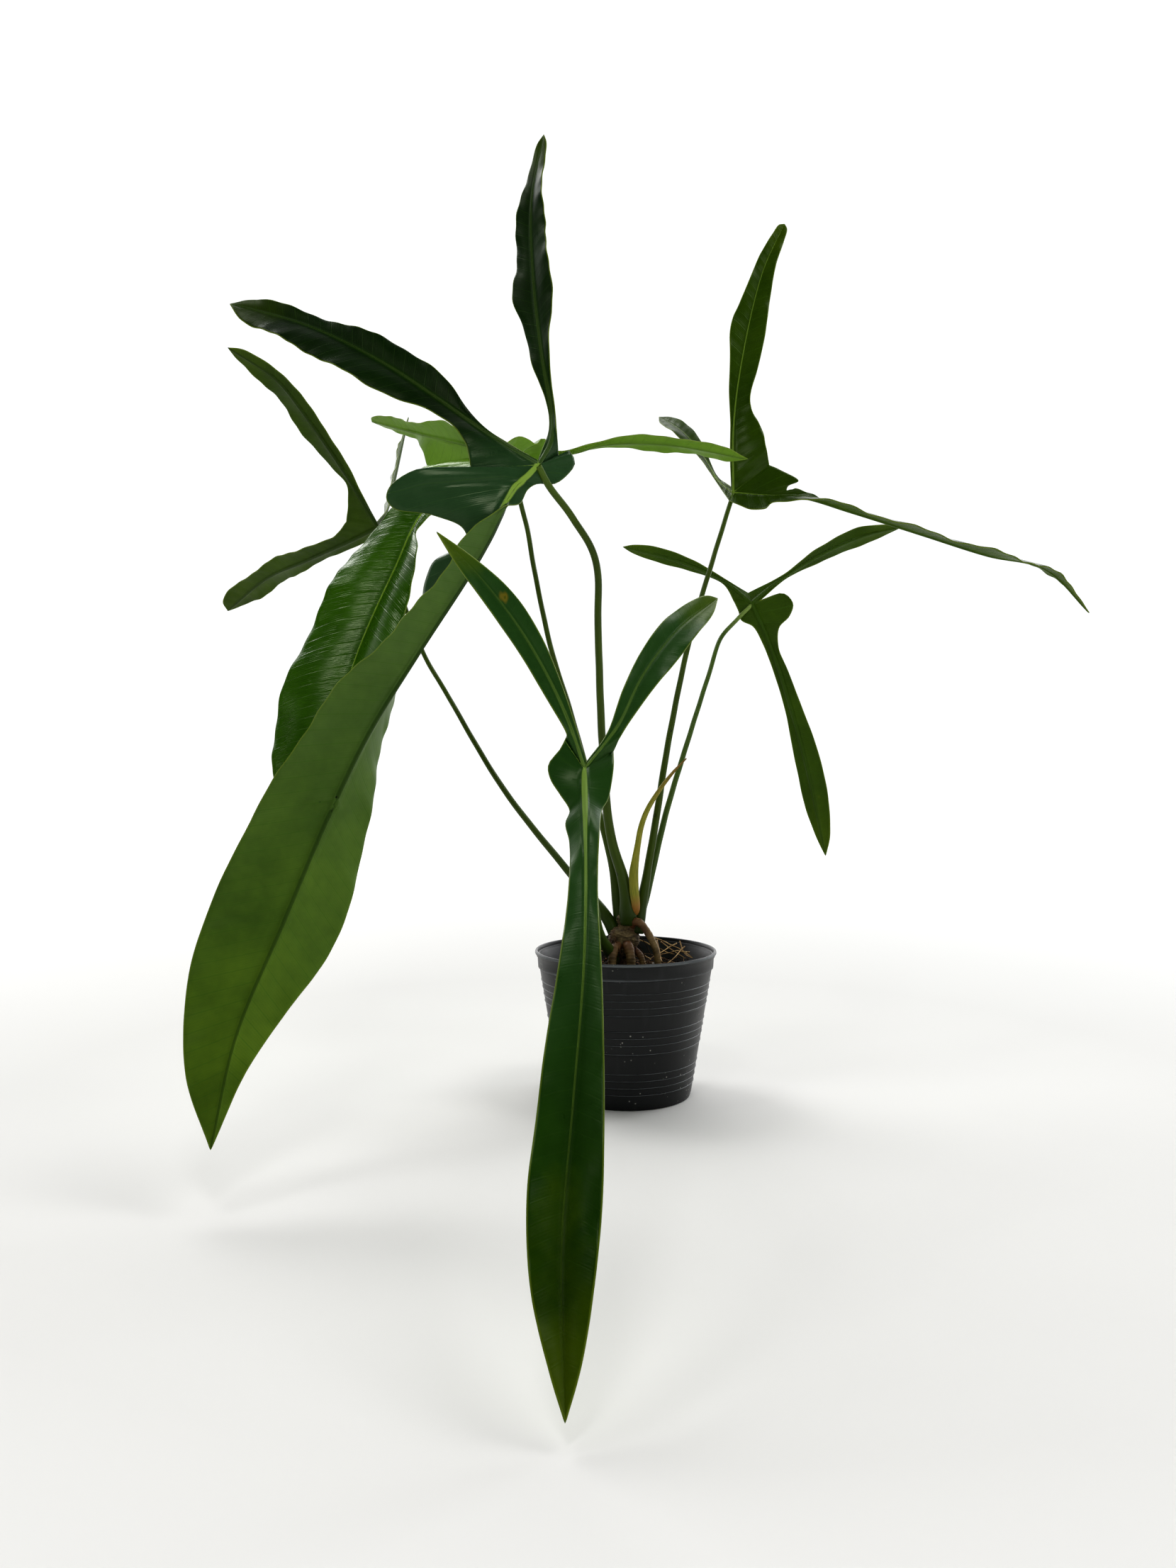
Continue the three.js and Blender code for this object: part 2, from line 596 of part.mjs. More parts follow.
// The pot: a bevelled foot, groups of thin rings, a plain band and a rolled lip, with drain holes in its floor.
function potSolid() {
  const profile = [[0, 0], [baseRadius - footBevel, 0], [baseRadius, footBevel]];
  for (const z of ringHeights) {
    profile.push([outerRadius(z - ringHalf), z - ringHalf]);
    profile.push([outerRadius(z) + ringOut, z]);
    profile.push([outerRadius(z + ringHalf), z + ringHalf]);
  }
  const bandRadius = outerRadius(bandFoot) + bandStep, lipFoot = potHeight - lipHeight;
  profile.push(
    [outerRadius(bandFoot - 1), bandFoot - 1], [bandRadius, bandFoot], [bandRadius + 0.4, lipFoot - 0.6],
    [rimRadius - 0.5, lipFoot], [rimRadius, lipFoot + lipRound], [rimRadius, potHeight - lipRound],
    [rimRadius - 1, potHeight], [rimRadius - 3, potHeight], [rimRadius - 4, potHeight - 1.4],
    [innerTopRadius, innerTop], [innerFootRadius, floorThickness], [0, floorThickness],
  );
  let pot = toSolid(turned(profile));
  for (let i = 0; i < drainHoles; i++) {
    const angle = (2 * Math.PI * (i + 0.5)) / drainHoles;
    const hole = new THREE.CylinderGeometry(drainRadius, drainRadius, 12, 16);
    hole.rotateX(Math.PI / 2);
    hole.translate(drainCircle * Math.cos(angle), drainCircle * Math.sin(angle), 0);
    pot = pot.subtract(toSolid(hole));
  }
  return pot;
}

// The stem with its stub roots and the one aerial root that arches over to the soil, grown as one piece.
function stemSolid(extra) {
  const path = stemPath.map(([x, y, z], i) => [x, y, i === stemPath.length - 1 ? z + extra : z]);
  let stem = toSolid(stalk({ path, radii: stemRadii, steps: stemSteps }, stemSides, extra));
  for (const root of roots) stem = stem.add(toSolid(stalk(root, stalkSides, extra)));
  return stem;
}

// The soil: it fills the pot to just under the band, with an uneven top that rises towards the stem.
function soilSolid(stemRoom) {
  const foot = floorThickness + gap, edge = innerRadius(soilTop) - gap;
  const geometry = turned([
    [0, foot], [innerRadius(foot) - gap, foot], [innerRadius(soilTop - 1) - gap, soilTop - 1.5],
    [edge - 1.5, soilTop - 0.6], [46, soilTop + 0.4], [34, soilTop - 0.5], [22, soilTop + 1.2],
    [10, soilTop + soilMound], [0, soilTop + soilMound],
  ]);
  const position = geometry.attributes.position;
  for (let i = 0; i < position.count; i++) {
    const x = position.getX(i), y = position.getY(i), z = position.getZ(i);
    if (z > soilTop - 1 && Math.hypot(x, y) < edge - 3) {
      const lumps = 0.9 * Math.sin(x * 0.31 + 1.3) * Math.cos(y * 0.27 - 0.4) + 0.6 * Math.sin(x * 0.11 - y * 0.23);
      position.setZ(i, z + lumps);
    }
  }
  return largestPiece(toSolid(geometry).subtract(stemRoom));
}

const part = new THREE.Group();
function addNode(name, solid, colour, roughness) {
  const material = new THREE.MeshStandardMaterial({ color: colour, roughness, metalness: 0 });
  const mesh = new THREE.Mesh(toGeometry(solid), material);
  mesh.name = name;
  part.add(mesh);
}

const stemRoom = stemSolid(gap); // what the other pieces leave free round the stem
addNode("pot", potSolid(), colours.pot, 0.55);
addNode("stem", stemSolid(0), colours.stem, 0.85);
addNode("soil", soilSolid(stemRoom), colours.soil, 0.95);
for (const [name, leaf] of Object.entries(leaves)) {
  const petiole = largestPiece(toSolid(stalk(petioles[name], stalkSides)).subtract(stemRoom));
  addNode("blade_" + name, toSolid(leafBlade(leaf)), colours.blade, 0.45);
  addNode("petiole_" + name, largestPiece(petiole.subtract(toSolid(leafBlade(leaf, gap)))), colours.petiole, 0.5);
}
addNode("cataphyll", largestPiece(toSolid(stalk(cataphyll, stalkSides)).subtract(stemRoom)), colours.sheath, 0.6);

export default part;
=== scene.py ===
# Potted philodendron with six long three-lobed leaves, dressed around its fixed frame.
# Everything is worked out in millimetres in the frame's own axes and put into the meshes in metres.
import math

import bpy
import numpy as np
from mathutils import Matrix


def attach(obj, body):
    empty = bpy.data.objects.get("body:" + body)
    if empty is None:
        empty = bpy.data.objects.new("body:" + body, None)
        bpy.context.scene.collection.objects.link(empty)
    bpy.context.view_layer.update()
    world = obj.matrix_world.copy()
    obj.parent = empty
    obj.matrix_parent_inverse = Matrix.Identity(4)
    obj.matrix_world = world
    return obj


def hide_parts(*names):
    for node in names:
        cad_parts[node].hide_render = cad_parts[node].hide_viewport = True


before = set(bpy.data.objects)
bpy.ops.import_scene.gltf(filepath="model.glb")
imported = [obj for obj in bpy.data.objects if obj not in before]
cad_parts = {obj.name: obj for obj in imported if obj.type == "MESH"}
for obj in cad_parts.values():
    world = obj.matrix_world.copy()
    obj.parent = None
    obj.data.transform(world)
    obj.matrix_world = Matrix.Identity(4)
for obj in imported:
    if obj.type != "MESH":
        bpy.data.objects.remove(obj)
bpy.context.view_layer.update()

millimetre = 0.001
fullTurn = 2 * math.pi
print("frame loaded")


# curves

def unit(v):
    # vectors over their lengths
    return v / np.maximum(np.linalg.norm(v, axis=-1, keepdims=True), 1e-12)


def catmull(points, u):
    # centripetal Catmull-Rom curve through points, u = 0 ... n - 1: cubic Hermite between neighbours, whose
    # end slopes weigh the chords on either side by the square roots of their lengths
    p = np.asarray(points, float)
    p = np.vstack([2 * p[0] - p[1], p, 2 * p[-1] - p[-2]])
    root = np.sqrt(np.linalg.norm(np.diff(p, axis=0), axis=1))[:, None]
    i = np.clip(np.asarray(u).astype(int), 0, len(p) - 4)
    f = (np.asarray(u, float) - i)[:, None]
    a, b, c, d = p[i], p[i + 1], p[i + 2], p[i + 3]
    r0, r1, r2 = root[i], root[i + 1], root[i + 2]
    m0 = ((b - a) / r0 - (c - a) / (r0 + r1) + (c - b) / r1) * r1
    m1 = ((c - b) / r1 - (d - b) / (r1 + r2) + (d - c) / r2) * r1
    return b + f * m0 + f**2 * (3 * (c - b) - 2 * m0 - m1) + f**3 * (2 * (b - c) + m0 + m1)


def evenLine(points, n):
    # n + 1 points at equal arc lengths along the smooth line through points, and its length
    fine = catmull(points, np.linspace(0, len(points) - 1, 4001))
    length = np.concatenate([[0], np.cumsum(np.linalg.norm(np.diff(fine, axis=0), axis=1))])
    want = np.linspace(0, length[-1], n + 1)
    return np.stack([np.interp(want, length, fine[:, k]) for k in range(3)], 1), length[-1]


def readTable(rows, x):
    # smooth reading of rows [x, value, ...]: cubic Hermite with harmonic mean slopes, so it never overshoots
    rows = np.asarray(rows, float)
    at, value = rows[:, 0], rows[:, 1:]
    step = np.diff(at)[:, None]
    slope = np.diff(value, axis=0) / step
    m = np.zeros_like(value)
    same = slope[1:] * slope[:-1] > 0
    m[1:-1] = np.where(same, 2 * slope[1:] * slope[:-1] / np.where(same, slope[1:] + slope[:-1], 1), 0)
    m[0], m[-1] = slope[0], slope[-1]
    x = np.clip(x, at[0], at[-1])
    i = np.clip(np.searchsorted(at, x, side="right") - 1, 0, len(at) - 2)
    f = ((x - at[i])[:, None]) / step[i]
    return (value[i] * (2 * f**3 - 3 * f**2 + 1) + m[i] * step[i] * (f**3 - 2 * f**2 + f)
            + value[i + 1] * (3 * f**2 - 2 * f**3) + m[i + 1] * step[i] * (f**3 - f**2))


def readKnots(rows, x):
    # the same for rows of one value [x, value]
    return readTable(rows, x)[:, 0]


def smoothStep(x, low, high):
    # 0 below low, 1 above high, 3t^2 - 2t^3 between
    t = np.clip((x - low) / (high - low), 0, 1)
    return t * t * (3 - 2 * t)


def lumps(points, size, seed, octaves=3):
    # a sum of sine products in turned directions, about -1 ... 1, each octave half as large and half as tall
    draw = np.random.default_rng(seed)
    total = np.zeros(len(points))
    for k in range(octaves):
        for _ in range(3):
            direction = unit(draw.normal(size=3)) * fullTurn / (size / 2**k)
            across = unit(draw.normal(size=3)) * fullTurn / (size * 1.3 / 2**k)
            total += 0.5**k * np.sin(points @ direction + draw.uniform(0, 6.3)) * np.sin(
                points @ across + draw.uniform(0, 6.3))
    return total / 2.2


# meshes

def makePiece(name, points, faces, material, replaced=(), values=None, smooth=True):
    # points in millimetres; faces is a list of index arrays of 3 or 4 columns; values are numbers per point
    mesh = bpy.data.meshes.new(name)
    corners = np.concatenate([f.ravel() for f in faces])
    sizes = np.concatenate([np.full(len(f), f.shape[1]) for f in faces])
    mesh.vertices.add(len(points))
    mesh.vertices.foreach_set("co", (np.asarray(points) * millimetre).astype(np.float32).ravel())
    mesh.loops.add(len(corners))
    mesh.loops.foreach_set("vertex_index", corners.astype(np.int32))
    mesh.polygons.add(len(sizes))
    mesh.polygons.foreach_set("loop_start", (np.cumsum(sizes) - sizes).astype(np.int32))
    mesh.polygons.foreach_set("use_smooth", np.full(len(sizes), smooth))
    mesh.update(calc_edges=True)
    mesh.validate()
    for key, value in (values or {}).items():
        layer = mesh.attributes.new(key, "FLOAT", "POINT")
        layer.data.foreach_set("value", np.asarray(value, np.float32))
    mesh.materials.append(material)
    piece = addObject(name, mesh)
    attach(piece, "root")
    if replaced:
        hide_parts(*replaced)
    print(name, len(sizes), "faces")
    return piece


def addObject(name, data):
    thing = bpy.data.objects.new(name, data)
    bpy.context.scene.collection.objects.link(thing)
    return thing


def tubeFaces(along, around):
    # faces of along rings of around points, and fans that close the ends round the two points that follow
    ids = np.arange(along * around).reshape(along, around)
    nextIds = np.roll(ids, -1, axis=1)
    quads = np.stack([ids[:-1], nextIds[:-1], nextIds[1:], ids[1:]], -1).reshape(-1, 4)
    foot = np.stack([np.full(around, along * around), nextIds[0], ids[0]], 1)
    top = np.stack([np.full(around, along * around + 1), ids[-1], nextIds[-1]], 1)
    return quads, np.concatenate([foot, top])


def sweep(path, radii, around, flat=0.0, ref=(0, -1, 0), reliefFor=None):
    # a closed tube along the smooth line through path: P(t, a) = line(t) + radius(t, a) (cos a side +
    # sin a front), with side and front square to the line, front turned towards ref and narrowed by flat
    along = len(radii)
    line = evenLine(path, along - 1)[0]
    tangent = unit(np.gradient(line, axis=0))
    front = unit(np.array(ref, float) - (tangent @ np.array(ref, float))[:, None] * tangent)
    side = np.cross(tangent, front)
    t = np.linspace(0, 1, along)
    a = np.linspace(0, fullTurn, around, endpoint=False)
    radius = np.asarray(radii)[:, None] * np.ones(around)
    if reliefFor is not None:
        radius = radius + reliefFor(t[:, None], a[None])
    points = line[:, None] + radius[..., None] * (
        np.cos(a)[None, :, None] * side[:, None] + (1 - flat) * np.sin(a)[None, :, None] * front[:, None])
    points = np.concatenate([points.reshape(-1, 3), line[:1], line[-1:]])
    values = {"place": np.concatenate([np.repeat(t, around), [0, 1]]),
              "turn": np.concatenate([np.tile(a, along), [0, 0]])}
    return points, tubeFaces(along, around), values


def joinTubes(name, tubes, material, keepPlace=False):
    # several sweeps as one piece
    sizes = [len(points) for points, _, _ in tubes]
    starts = np.cumsum(sizes) - sizes
    faces = [part + start for start, (_, pair, _) in zip(starts, tubes) for part in pair]
    values = {"place": np.concatenate([tube[2]["place"] for tube in tubes])} if keepPlace else None
    points = np.concatenate([tube[0] for tube in tubes])
    return makePiece(name, points, faces, material, values=values)


# materials

def toLinear(hexColour):
    # sRGB "#rrggbb" to linear: v / 12.92 up to 0.04045, else ((v + 0.055) / 1.055)^2.4
    v = np.array([int(hexColour[i:i + 2], 16) for i in (1, 3, 5)]) / 255
    return (*np.where(v <= 0.04045, v / 12.92, ((v + 0.055) / 1.055)**2.4), 1.0)


def setInput(tree, socket, value):
    # value is a number, a "#hex" colour, an output, or a node, which stands for its result
    if isinstance(value, bpy.types.Node):
        value = [output for output in value.outputs if output.enabled][0]
    if isinstance(value, bpy.types.NodeSocket):
        tree.links.new(value, socket)
    else:
        socket.default_value = toLinear(value) if isinstance(value, str) else value


def addNode(tree, kind, inputs=(), **settings):
    # inputs is what its sockets get: a list in their order, or a dictionary by their names
    node = tree.nodes.new("ShaderNode" + kind)
    for key, value in settings.items():
        setattr(node, key, value)
    if not isinstance(inputs, dict):
        inputs = dict(zip((i for i, socket in enumerate(node.inputs) if socket.enabled), inputs))
    for key, value in inputs.items():
        setInput(tree, node.inputs[key], value)
    return node


def newMaterial(name, **sockets):
    # a Principled material with plain numbers and colours on its own sockets
    material = bpy.data.materials.new(name)
    material.use_nodes = True
    tree = material.node_tree
    shader = tree.nodes["Principled BSDF"]
    for key, value in sockets.items():
        setInput(tree, shader.inputs[key.replace("_", " ")], value)
    return material, tree, shader


def overlay(tree, colour, tone, source, *span):
    # tone over colour by a share that runs from span[2] to span[3] while source runs from span[0] to span[1]
    share = addNode(tree, "MapRange", [source, *span])
    return addNode(tree, "Mix", [share, colour, tone], data_type="RGBA")


def finishMaterial(tree, shader, colour, roughness, bump):
    # bump is [strength, distance in metres, height]
    skin = addNode(tree, "Bump", dict(zip(("Strength", "Distance", "Height"), bump)))
    for key, value in (("Base Color", colour), ("Roughness", roughness), ("Normal", skin)):
        setInput(tree, shader.inputs[key], value)


# leaves

# Each rib has a path in mm, faces [share of the path, x, y, z] and two margins of knots [place, width],
# [place, width, lift] or [x, y, z, place], with the place in mm along the path.
# Creases are [from, to, half width, height] in mm, blots [x, y, z, radius], and paintedSheen is [place,
# amount] of a painted grey sheen along each rib. In a look, the pairs for pale (a painted backlit glow),
# paintedSheen and the ribs mean the faces below and above.
# The large front leaf. Its long lobe turns right over below the hub, so it shows its underside from there on.
leafA = {
    "seed": 1.0, "veinRelief": 0.06, "fold": 0.12, "ribShow": [1, 0.12, 0.1],
    "look": {
        "top": ["#051a00", "#0b2402"], "under": ["#3e5a0a", "#5e7c1e"], "paintedSheen": ["#4e6638", "#304c2e"],
        "specular": 0.2, "ribTone": ["#1e3606", "#86a446"], "ribWidth": [0.4, 1.0], "ribShadow": 0.3,
        "shadow": "#1c3a04", "rib": [1.0, 0.3], "veins": [0.35, 0.1], "gloss": [0.36, 0.44], "bump": 0.35,
        "waxShine": -0.22,
    },
    "creases": [
        [[-70, -70, 425], [-146, -79, 418], 8, 4], [[-69, -68, 420], [-134, -78, 416], 1.8, -1.6],
        [[-151, -129, 287.5], [-170, -137, 283.5], 2, 3],
        [[-172.9, -153.5, 213], [-189.7, -153, 215.1], 2, -3],
    ],
    # paintedSheen: a painted grey sheen, strong at the hub and fading down the long lobe
    "paintedSheen": [
        [[0, 0.9], [95, 0.8], [210, 0.6], [300, 0.35], [390, 0.15], [480, 0.1]],
        [[0, 0.7], [28, 0.3], [45, 0], [250, 0]], [[0, 0.8], [30, 0.4], [60, 0], [250, 0]],
    ],
    "ribRoot": 2.1,
    "wave": [1.8, 62, 0.4],
    "camber": 0.05,
    "webs": [[-47, -51, 442], [-60, -64.5, 438], [-104, -70, 430]],
    "ribs": [{  # long lobe
        "path": [
            [-60, -66, 435], [-77, -74, 414], [-91, -86, 382], [-102, -94, 360], [-129, -116, 311],
            [-159, -138, 256], [-180, -156, 205], [-200, -178, 147], [-220, -201, 88],
            [-226, -226, 34],
        ],
        "face": [
            [0, -0.1, -0.85, 0.5], [0.06, -0.6, -0.75, 0.3], [0.13, -0.97, -0.2, 0.2],
            [0.3, -0.95, 0.2, 0.2], [0.46, -0.75, 0.6, -0.1], [0.62, -0.45, 0.85, -0.2],
            [1, -0.2, 0.97, -0.3],
        ],
        "left": [
            [-40, -52, 448, 1], [-36, -46, 441, 3], [-41, -50, 432, 6], [-50, -57, 424, 10],
            [-61, -62, 423, 14], [-67, -68, 418, 18], [-72, -70, 409, 24], [42, 4, 40], [56, 9, 52],
            [72, 14, 52], [95, 16, 48], [130, 15, 42], [165, 21, 32], [200, 27, 22], [240, 32, 16],
            [300, 39, 12], [345, 41, 12], [385, 36, 10], [430, 21, 8],
        ],
        "right": [
            [-114, -74, 427, 3], [-136, -79, 428, 7], [-155, -80, 418, 12], [-158, -79, 409, 17],
            [-152, -78, 402, 22], [-128, -77, 399, 32], [-110, -76, 392, 44], [-108, -76, 385, 52],
            [-118, -74, 376, 62], [-128, -72, 368, 74], [-132, -78, 346, 94], [135, 25, 52],
            [180, 22, 38], [240, 27, 20], [300, 33, 12], [345, 33, 12], [385, 22, 10], [425, 10, 8],
        ],
    }, {  # up lobe
        "path": [
            [-60, -66, 435], [-52, -62, 450], [-51, -56, 469], [-58, -46, 515], [-64, -34, 568],
            [-66, -26, 626], [-58, -20, 678],
        ],
        "face": [[0, -0.1, -0.85, 0.5], [0.2, -0.5, -0.8, 0.2], [1, -0.55, -0.8, 0.1]],
        "left": [
            [30, 2.4], [52, 3], [65, 5], [80, 8], [112, 12], [132, 16], [155, 13], [178, 12], [203, 9],
            [230, 5.5], [245, 3.2],
        ],
        "right": [
            [26, 3.5], [45, 2.8], [60, 3], [78, 6], [100, 10], [125, 15], [150, 16], [178, 13],
            [205, 10], [230, 6.5], [245, 3.5],
        ],
    }, {  # left lobe
        "path": [
            [-60, -66, 435], [-96, -64, 457], [-126, -60, 479], [-165, -54, 506], [-214, -48, 532],
            [-272, -41, 551],
        ],
        "face": [[0, -0.1, -0.85, 0.5], [0.3, 0.1, -0.9, 0.4], [1, 0.1, -0.9, 0.4]],
        "left": [
            [48, 15], [74, 13], [99, 19], [125, 25], [146, 25], [181, 23], [205, 19], [228, 13],
            [236, 8],
        ],
        "right": [
            [20, 2], [44, 3], [65, 8], [84, 14], [115, 17], [137, 17], [156, 13], [178, 10], [202, 10],
            [226, 9], [236, 6],
        ],
    }],
}

# The wide leaf behind it, on the left.
leafB = {
    # pale and paintedBacklightHub paint a backlit glow on the side lobes and at the hub
    "seed": 2.3, "pale": [0.0, 0.5, 0.9], "paintedBacklightHub": 0.9, "ribShow": [1, 0.3, 0.3], "fold": 0.1,
    "veinRelief": 0.1,
    "look": {
        "top": ["#2a5000", "#386202"], "under": ["#557a10", "#668a20"], "specular": 0.5, "bump": 0.8,
        "veinDepth": -0.6, "ribTone": ["#3d5a10", "#8aac3a"], "rib": [1.0, 0.8], "ribWidth": [0.8, 0.85],
        "ribShadow": 0.1, "gloss": [0.2, 0.28], "streaks": 2.2,
    },
    "ribRoot": 1.8,
    "wave": [2.2, 70, 1.1],
    "camber": 0.08,
    "webs": [[-58, 39, 460], [-68, 58, 478], [-90, 57, 474]],
    "ribs": [{  # long lobe
        "path": [
            [-78, 54, 473], [-114, 34, 453], [-147, 12, 419], [-164, -8, 375], [-185, -28, 318],
            [-200, -46, 259], [-217, -58, 188],
        ],
        "face": [
            [0, 0, -0.1, 1], [0.15, -0.3, -0.6, 0.7], [0.35, -0.4, -0.85, 0.3], [1, -0.3, -0.95, 0.1],
        ],
        "left": [
            [-55, 38, 468, 2], [-56, 37, 476, 4], [-61, 36, 480, 6], [-65.5, 35, 475, 8], [-71, 33, 478, 11],
            [-78, 31, 480, 14], [-88, 27, 474, 19], [60, 13], [97, 9], [117, 5], [134, 16], [152, 24],
            [180, 30], [220, 33], [270, 31], [320, 17],
        ],
        "right": [
            [-122, 74, 474, 6], [-150, 78, 470, 14], [-156, 70, 465, 21], [-140, 58, 460, 29],
            [-126, 44, 453, 42], [97, 20], [122, 27], [150, 35], [190, 37], [231, 39], [275, 40],
            [316, 29],
        ],
    }, {  # right lobe
        "path": [[-78, 54, 473], [-40, 39, 470], [-16, 34, 475], [31, 26, 473], [91, 22, 461]],
        "face": [[0, 0, -0.1, 1], [0.4, 0.1, 0.35, 0.9], [1, 0.1, 0.5, 0.8]],
        "left": [[20, 3], [34, 2], [55, 4], [90, 9], [125, 10], [158, 8]],
        "right": [[20, 3.5], [36, 2.8], [55, 4], [90, 6], [125, 7], [158, 5]],
    }, {  # left lobe
        "path": [[-78, 54, 473], [-115, 74, 484], [-158, 104, 501], [-208, 139, 522]],
        "face": [[0, 0, -0.1, 1], [0.4, 0.1, 0.4, 0.8], [1, 0.2, 0.4, 0.8]],
        "left": [[26, 6], [46, 14], [70, 17], [97, 13.5], [130, 9.5], [160, 5]],
        "right": [
            [20, 4], [36, 5], [-134, 104, 470, 58], [-154, 106, 470, 78],
            [-162, 109, 487, 92], [118, 10], [136, 8], [160, 5],
        ],
    }],
}

# The small olive leaf at the far left.
leafC = {
    "seed": 3.1,
    "look": {
        "top": ["#2c4200", "#3a5208"], "under": ["#283c02", "#384e08"], "ribTone": ["#263a08", "#42561a"],
        "rib": [0.7, 0.6], "ribWidth": [0.5, 0.5], "ribShadow": 0.4, "shadow": "#182a04",
    },
    "ribRoot": 1.6,
    "wave": [1.4, 55, 2],
    "camber": 0.06,
    "webs": [[-222, 104, 431], [-198, 106, 431], [-190, 108, 423]],
    "ribs": [{  # lower left lobe
        "path": [
            [-197, 104, 427], [-222, 114, 417], [-264, 139, 405], [-302, 164, 395], [-347, 199, 371],
        ],
        "face": [[0, 0, 0.3, 0.95], [0.3, -0.1, 0.6, 0.8], [1, -0.1, 0.7, 0.7]],
        "left": [[40, 9], [75, 12], [110, 12], [150, 11], [172, 12], [183, 8]],
        "right": [[50, 8], [80, 9], [120, 13], [152, 12.5], [176, 5]],
    }, {  # upper left lobe
        "path": [[-197, 104, 427], [-220, 94, 466], [-249, 79, 509], [-270, 69, 535], [-304, 59, 556]],
        "face": [[0, 0, 0.3, 0.95], [0.25, 0.3, 0.8, 0.4], [1, 0.3, 0.8, 0.5]],
        "left": [[30, 3], [60, 6], [95, 7], [130, 7], [160, 5.5], [169, 4]],
        "right": [[40, 5], [60, 10], [90, 14], [125, 13], [158, 8], [169, 4.5]],
    }, {  # back lobe
        "path": [[-197, 104, 427], [-194, 129, 446], [-194, 164, 476], [-192, 234, 553]],
        "face": [[0, 0, 0.3, 0.95], [0.3, -0.8, 0, 0.5], [1, -0.97, 0, 0.2]],
        "left": [[30, 2], [60, 7], [100, 11], [135, 7]],
        "right": [[30, 2], [60, 7], [100, 11], [135, 7]],
    }],
}

# The leaf that hangs forward over the pot's rim, almost down to the floor.
leafD = {
    "seed": 4.4, "ribShow": [1, 0.45, 0.45], "blots": [[-70, -243.5, 323, 3]], "veinRelief": 0.05,
    "flutter": 0.25, "fold": 0.3,
    "look": {
        "top": ["#183800", "#244602"], "ribTone": ["#3d5a10", "#84a248"], "paintedSheen": ["#6c7e4a", "#2a4c20"],
        "rib": [0.9, 0.05], "old": 0.7, "ribWidth": [0.6, 0.8], "veinDepth": -0.25, "veins": [0.2, 0.08],
        "ribShadow": 0.1, "specular": 0.24,
    },
    # paintedSheen: a painted grey sheen on the hub and both side lobes
    "paintedSheen": [
        [[0, 0.7], [80, 0.9], [130, 0.7], [190, 0.2], [240, 0], [300, 0]],
        [[0, 0.5], [40, 0.8], [200, 0.7]], [[0, 0.5], [40, 0.8], [200, 0.9]],
    ],
    "ribRoot": 1.6,
    "wave": [1, 48, 0.7],
    "camber": 0.05,
    "webs": [[-14, -234, 244], [-28, -244, 238], [-38, -244, 251]],
    "ribs": [{  # long lobe
        "path": [
            [-29, -246, 235], [-28, -286, 189], [-29, -326, 145], [-33, -364, 100], [-37, -401, 54],
            [-35, -436, 9],
        ],
        "face": [[0, 0, -0.7, 0.72], [1, 0, -0.72, 0.7]],
        "left": [
            [-14, -242, 237, 4], [-15, -246, 229, 9], [-17, -251, 220, 15], [-20, -256, 215, 20],
            [45, 6.5], [75, 5.5], [120, 8], [150, 10.5], [190, 13.5], [225, 15], [255, 12], [280, 6],
        ],
        "right": [
            [-41, -245, 245, 2], [-47, -246, 237, 5], [-46, -248, 230, 9], [-41, -252, 222, 14],
            [-36, -257, 214, 19], [-38, -263, 208, 26], [-36, -271, 200, 36], [75, 8], [120, 11],
            [150, 13], [190, 14], [225, 14], [255, 11], [280, 5],
        ],
    }, {  # right lobe
        "path": [[-29, -246, 235], [-12, -231, 256], [2, -210, 284], [23, -184, 312], [49, -156, 334]],
        "face": [[0, 0, -0.7, 0.72], [0.4, 0.2, -0.85, 0.4], [1, 0.2, -0.85, 0.45]],
        "left": [[25, 2.5], [55, 6], [85, 8], [115, 9], [142, 7], [152, 4]],
        "right": [[30, 4], [60, 8], [90, 11], [118, 10], [142, 6]],
    }, {  # left lobe
        "path": [
            [-29, -246, 235], [-39, -246, 264], [-57, -244, 299], [-78, -242, 328], [-105, -240, 357],
        ],
        "face": [[0, 0, -0.7, 0.72], [0.4, -0.1, -0.9, 0.3], [1, -0.1, -0.9, 0.3]],
        "left": [[20, 3], [45, 6], [70, 7], [100, 7], [128, 4]],
        "right": [[20, 2.5], [45, 4.5], [70, 7], [95, 8], [125, 4]],
    }],
}

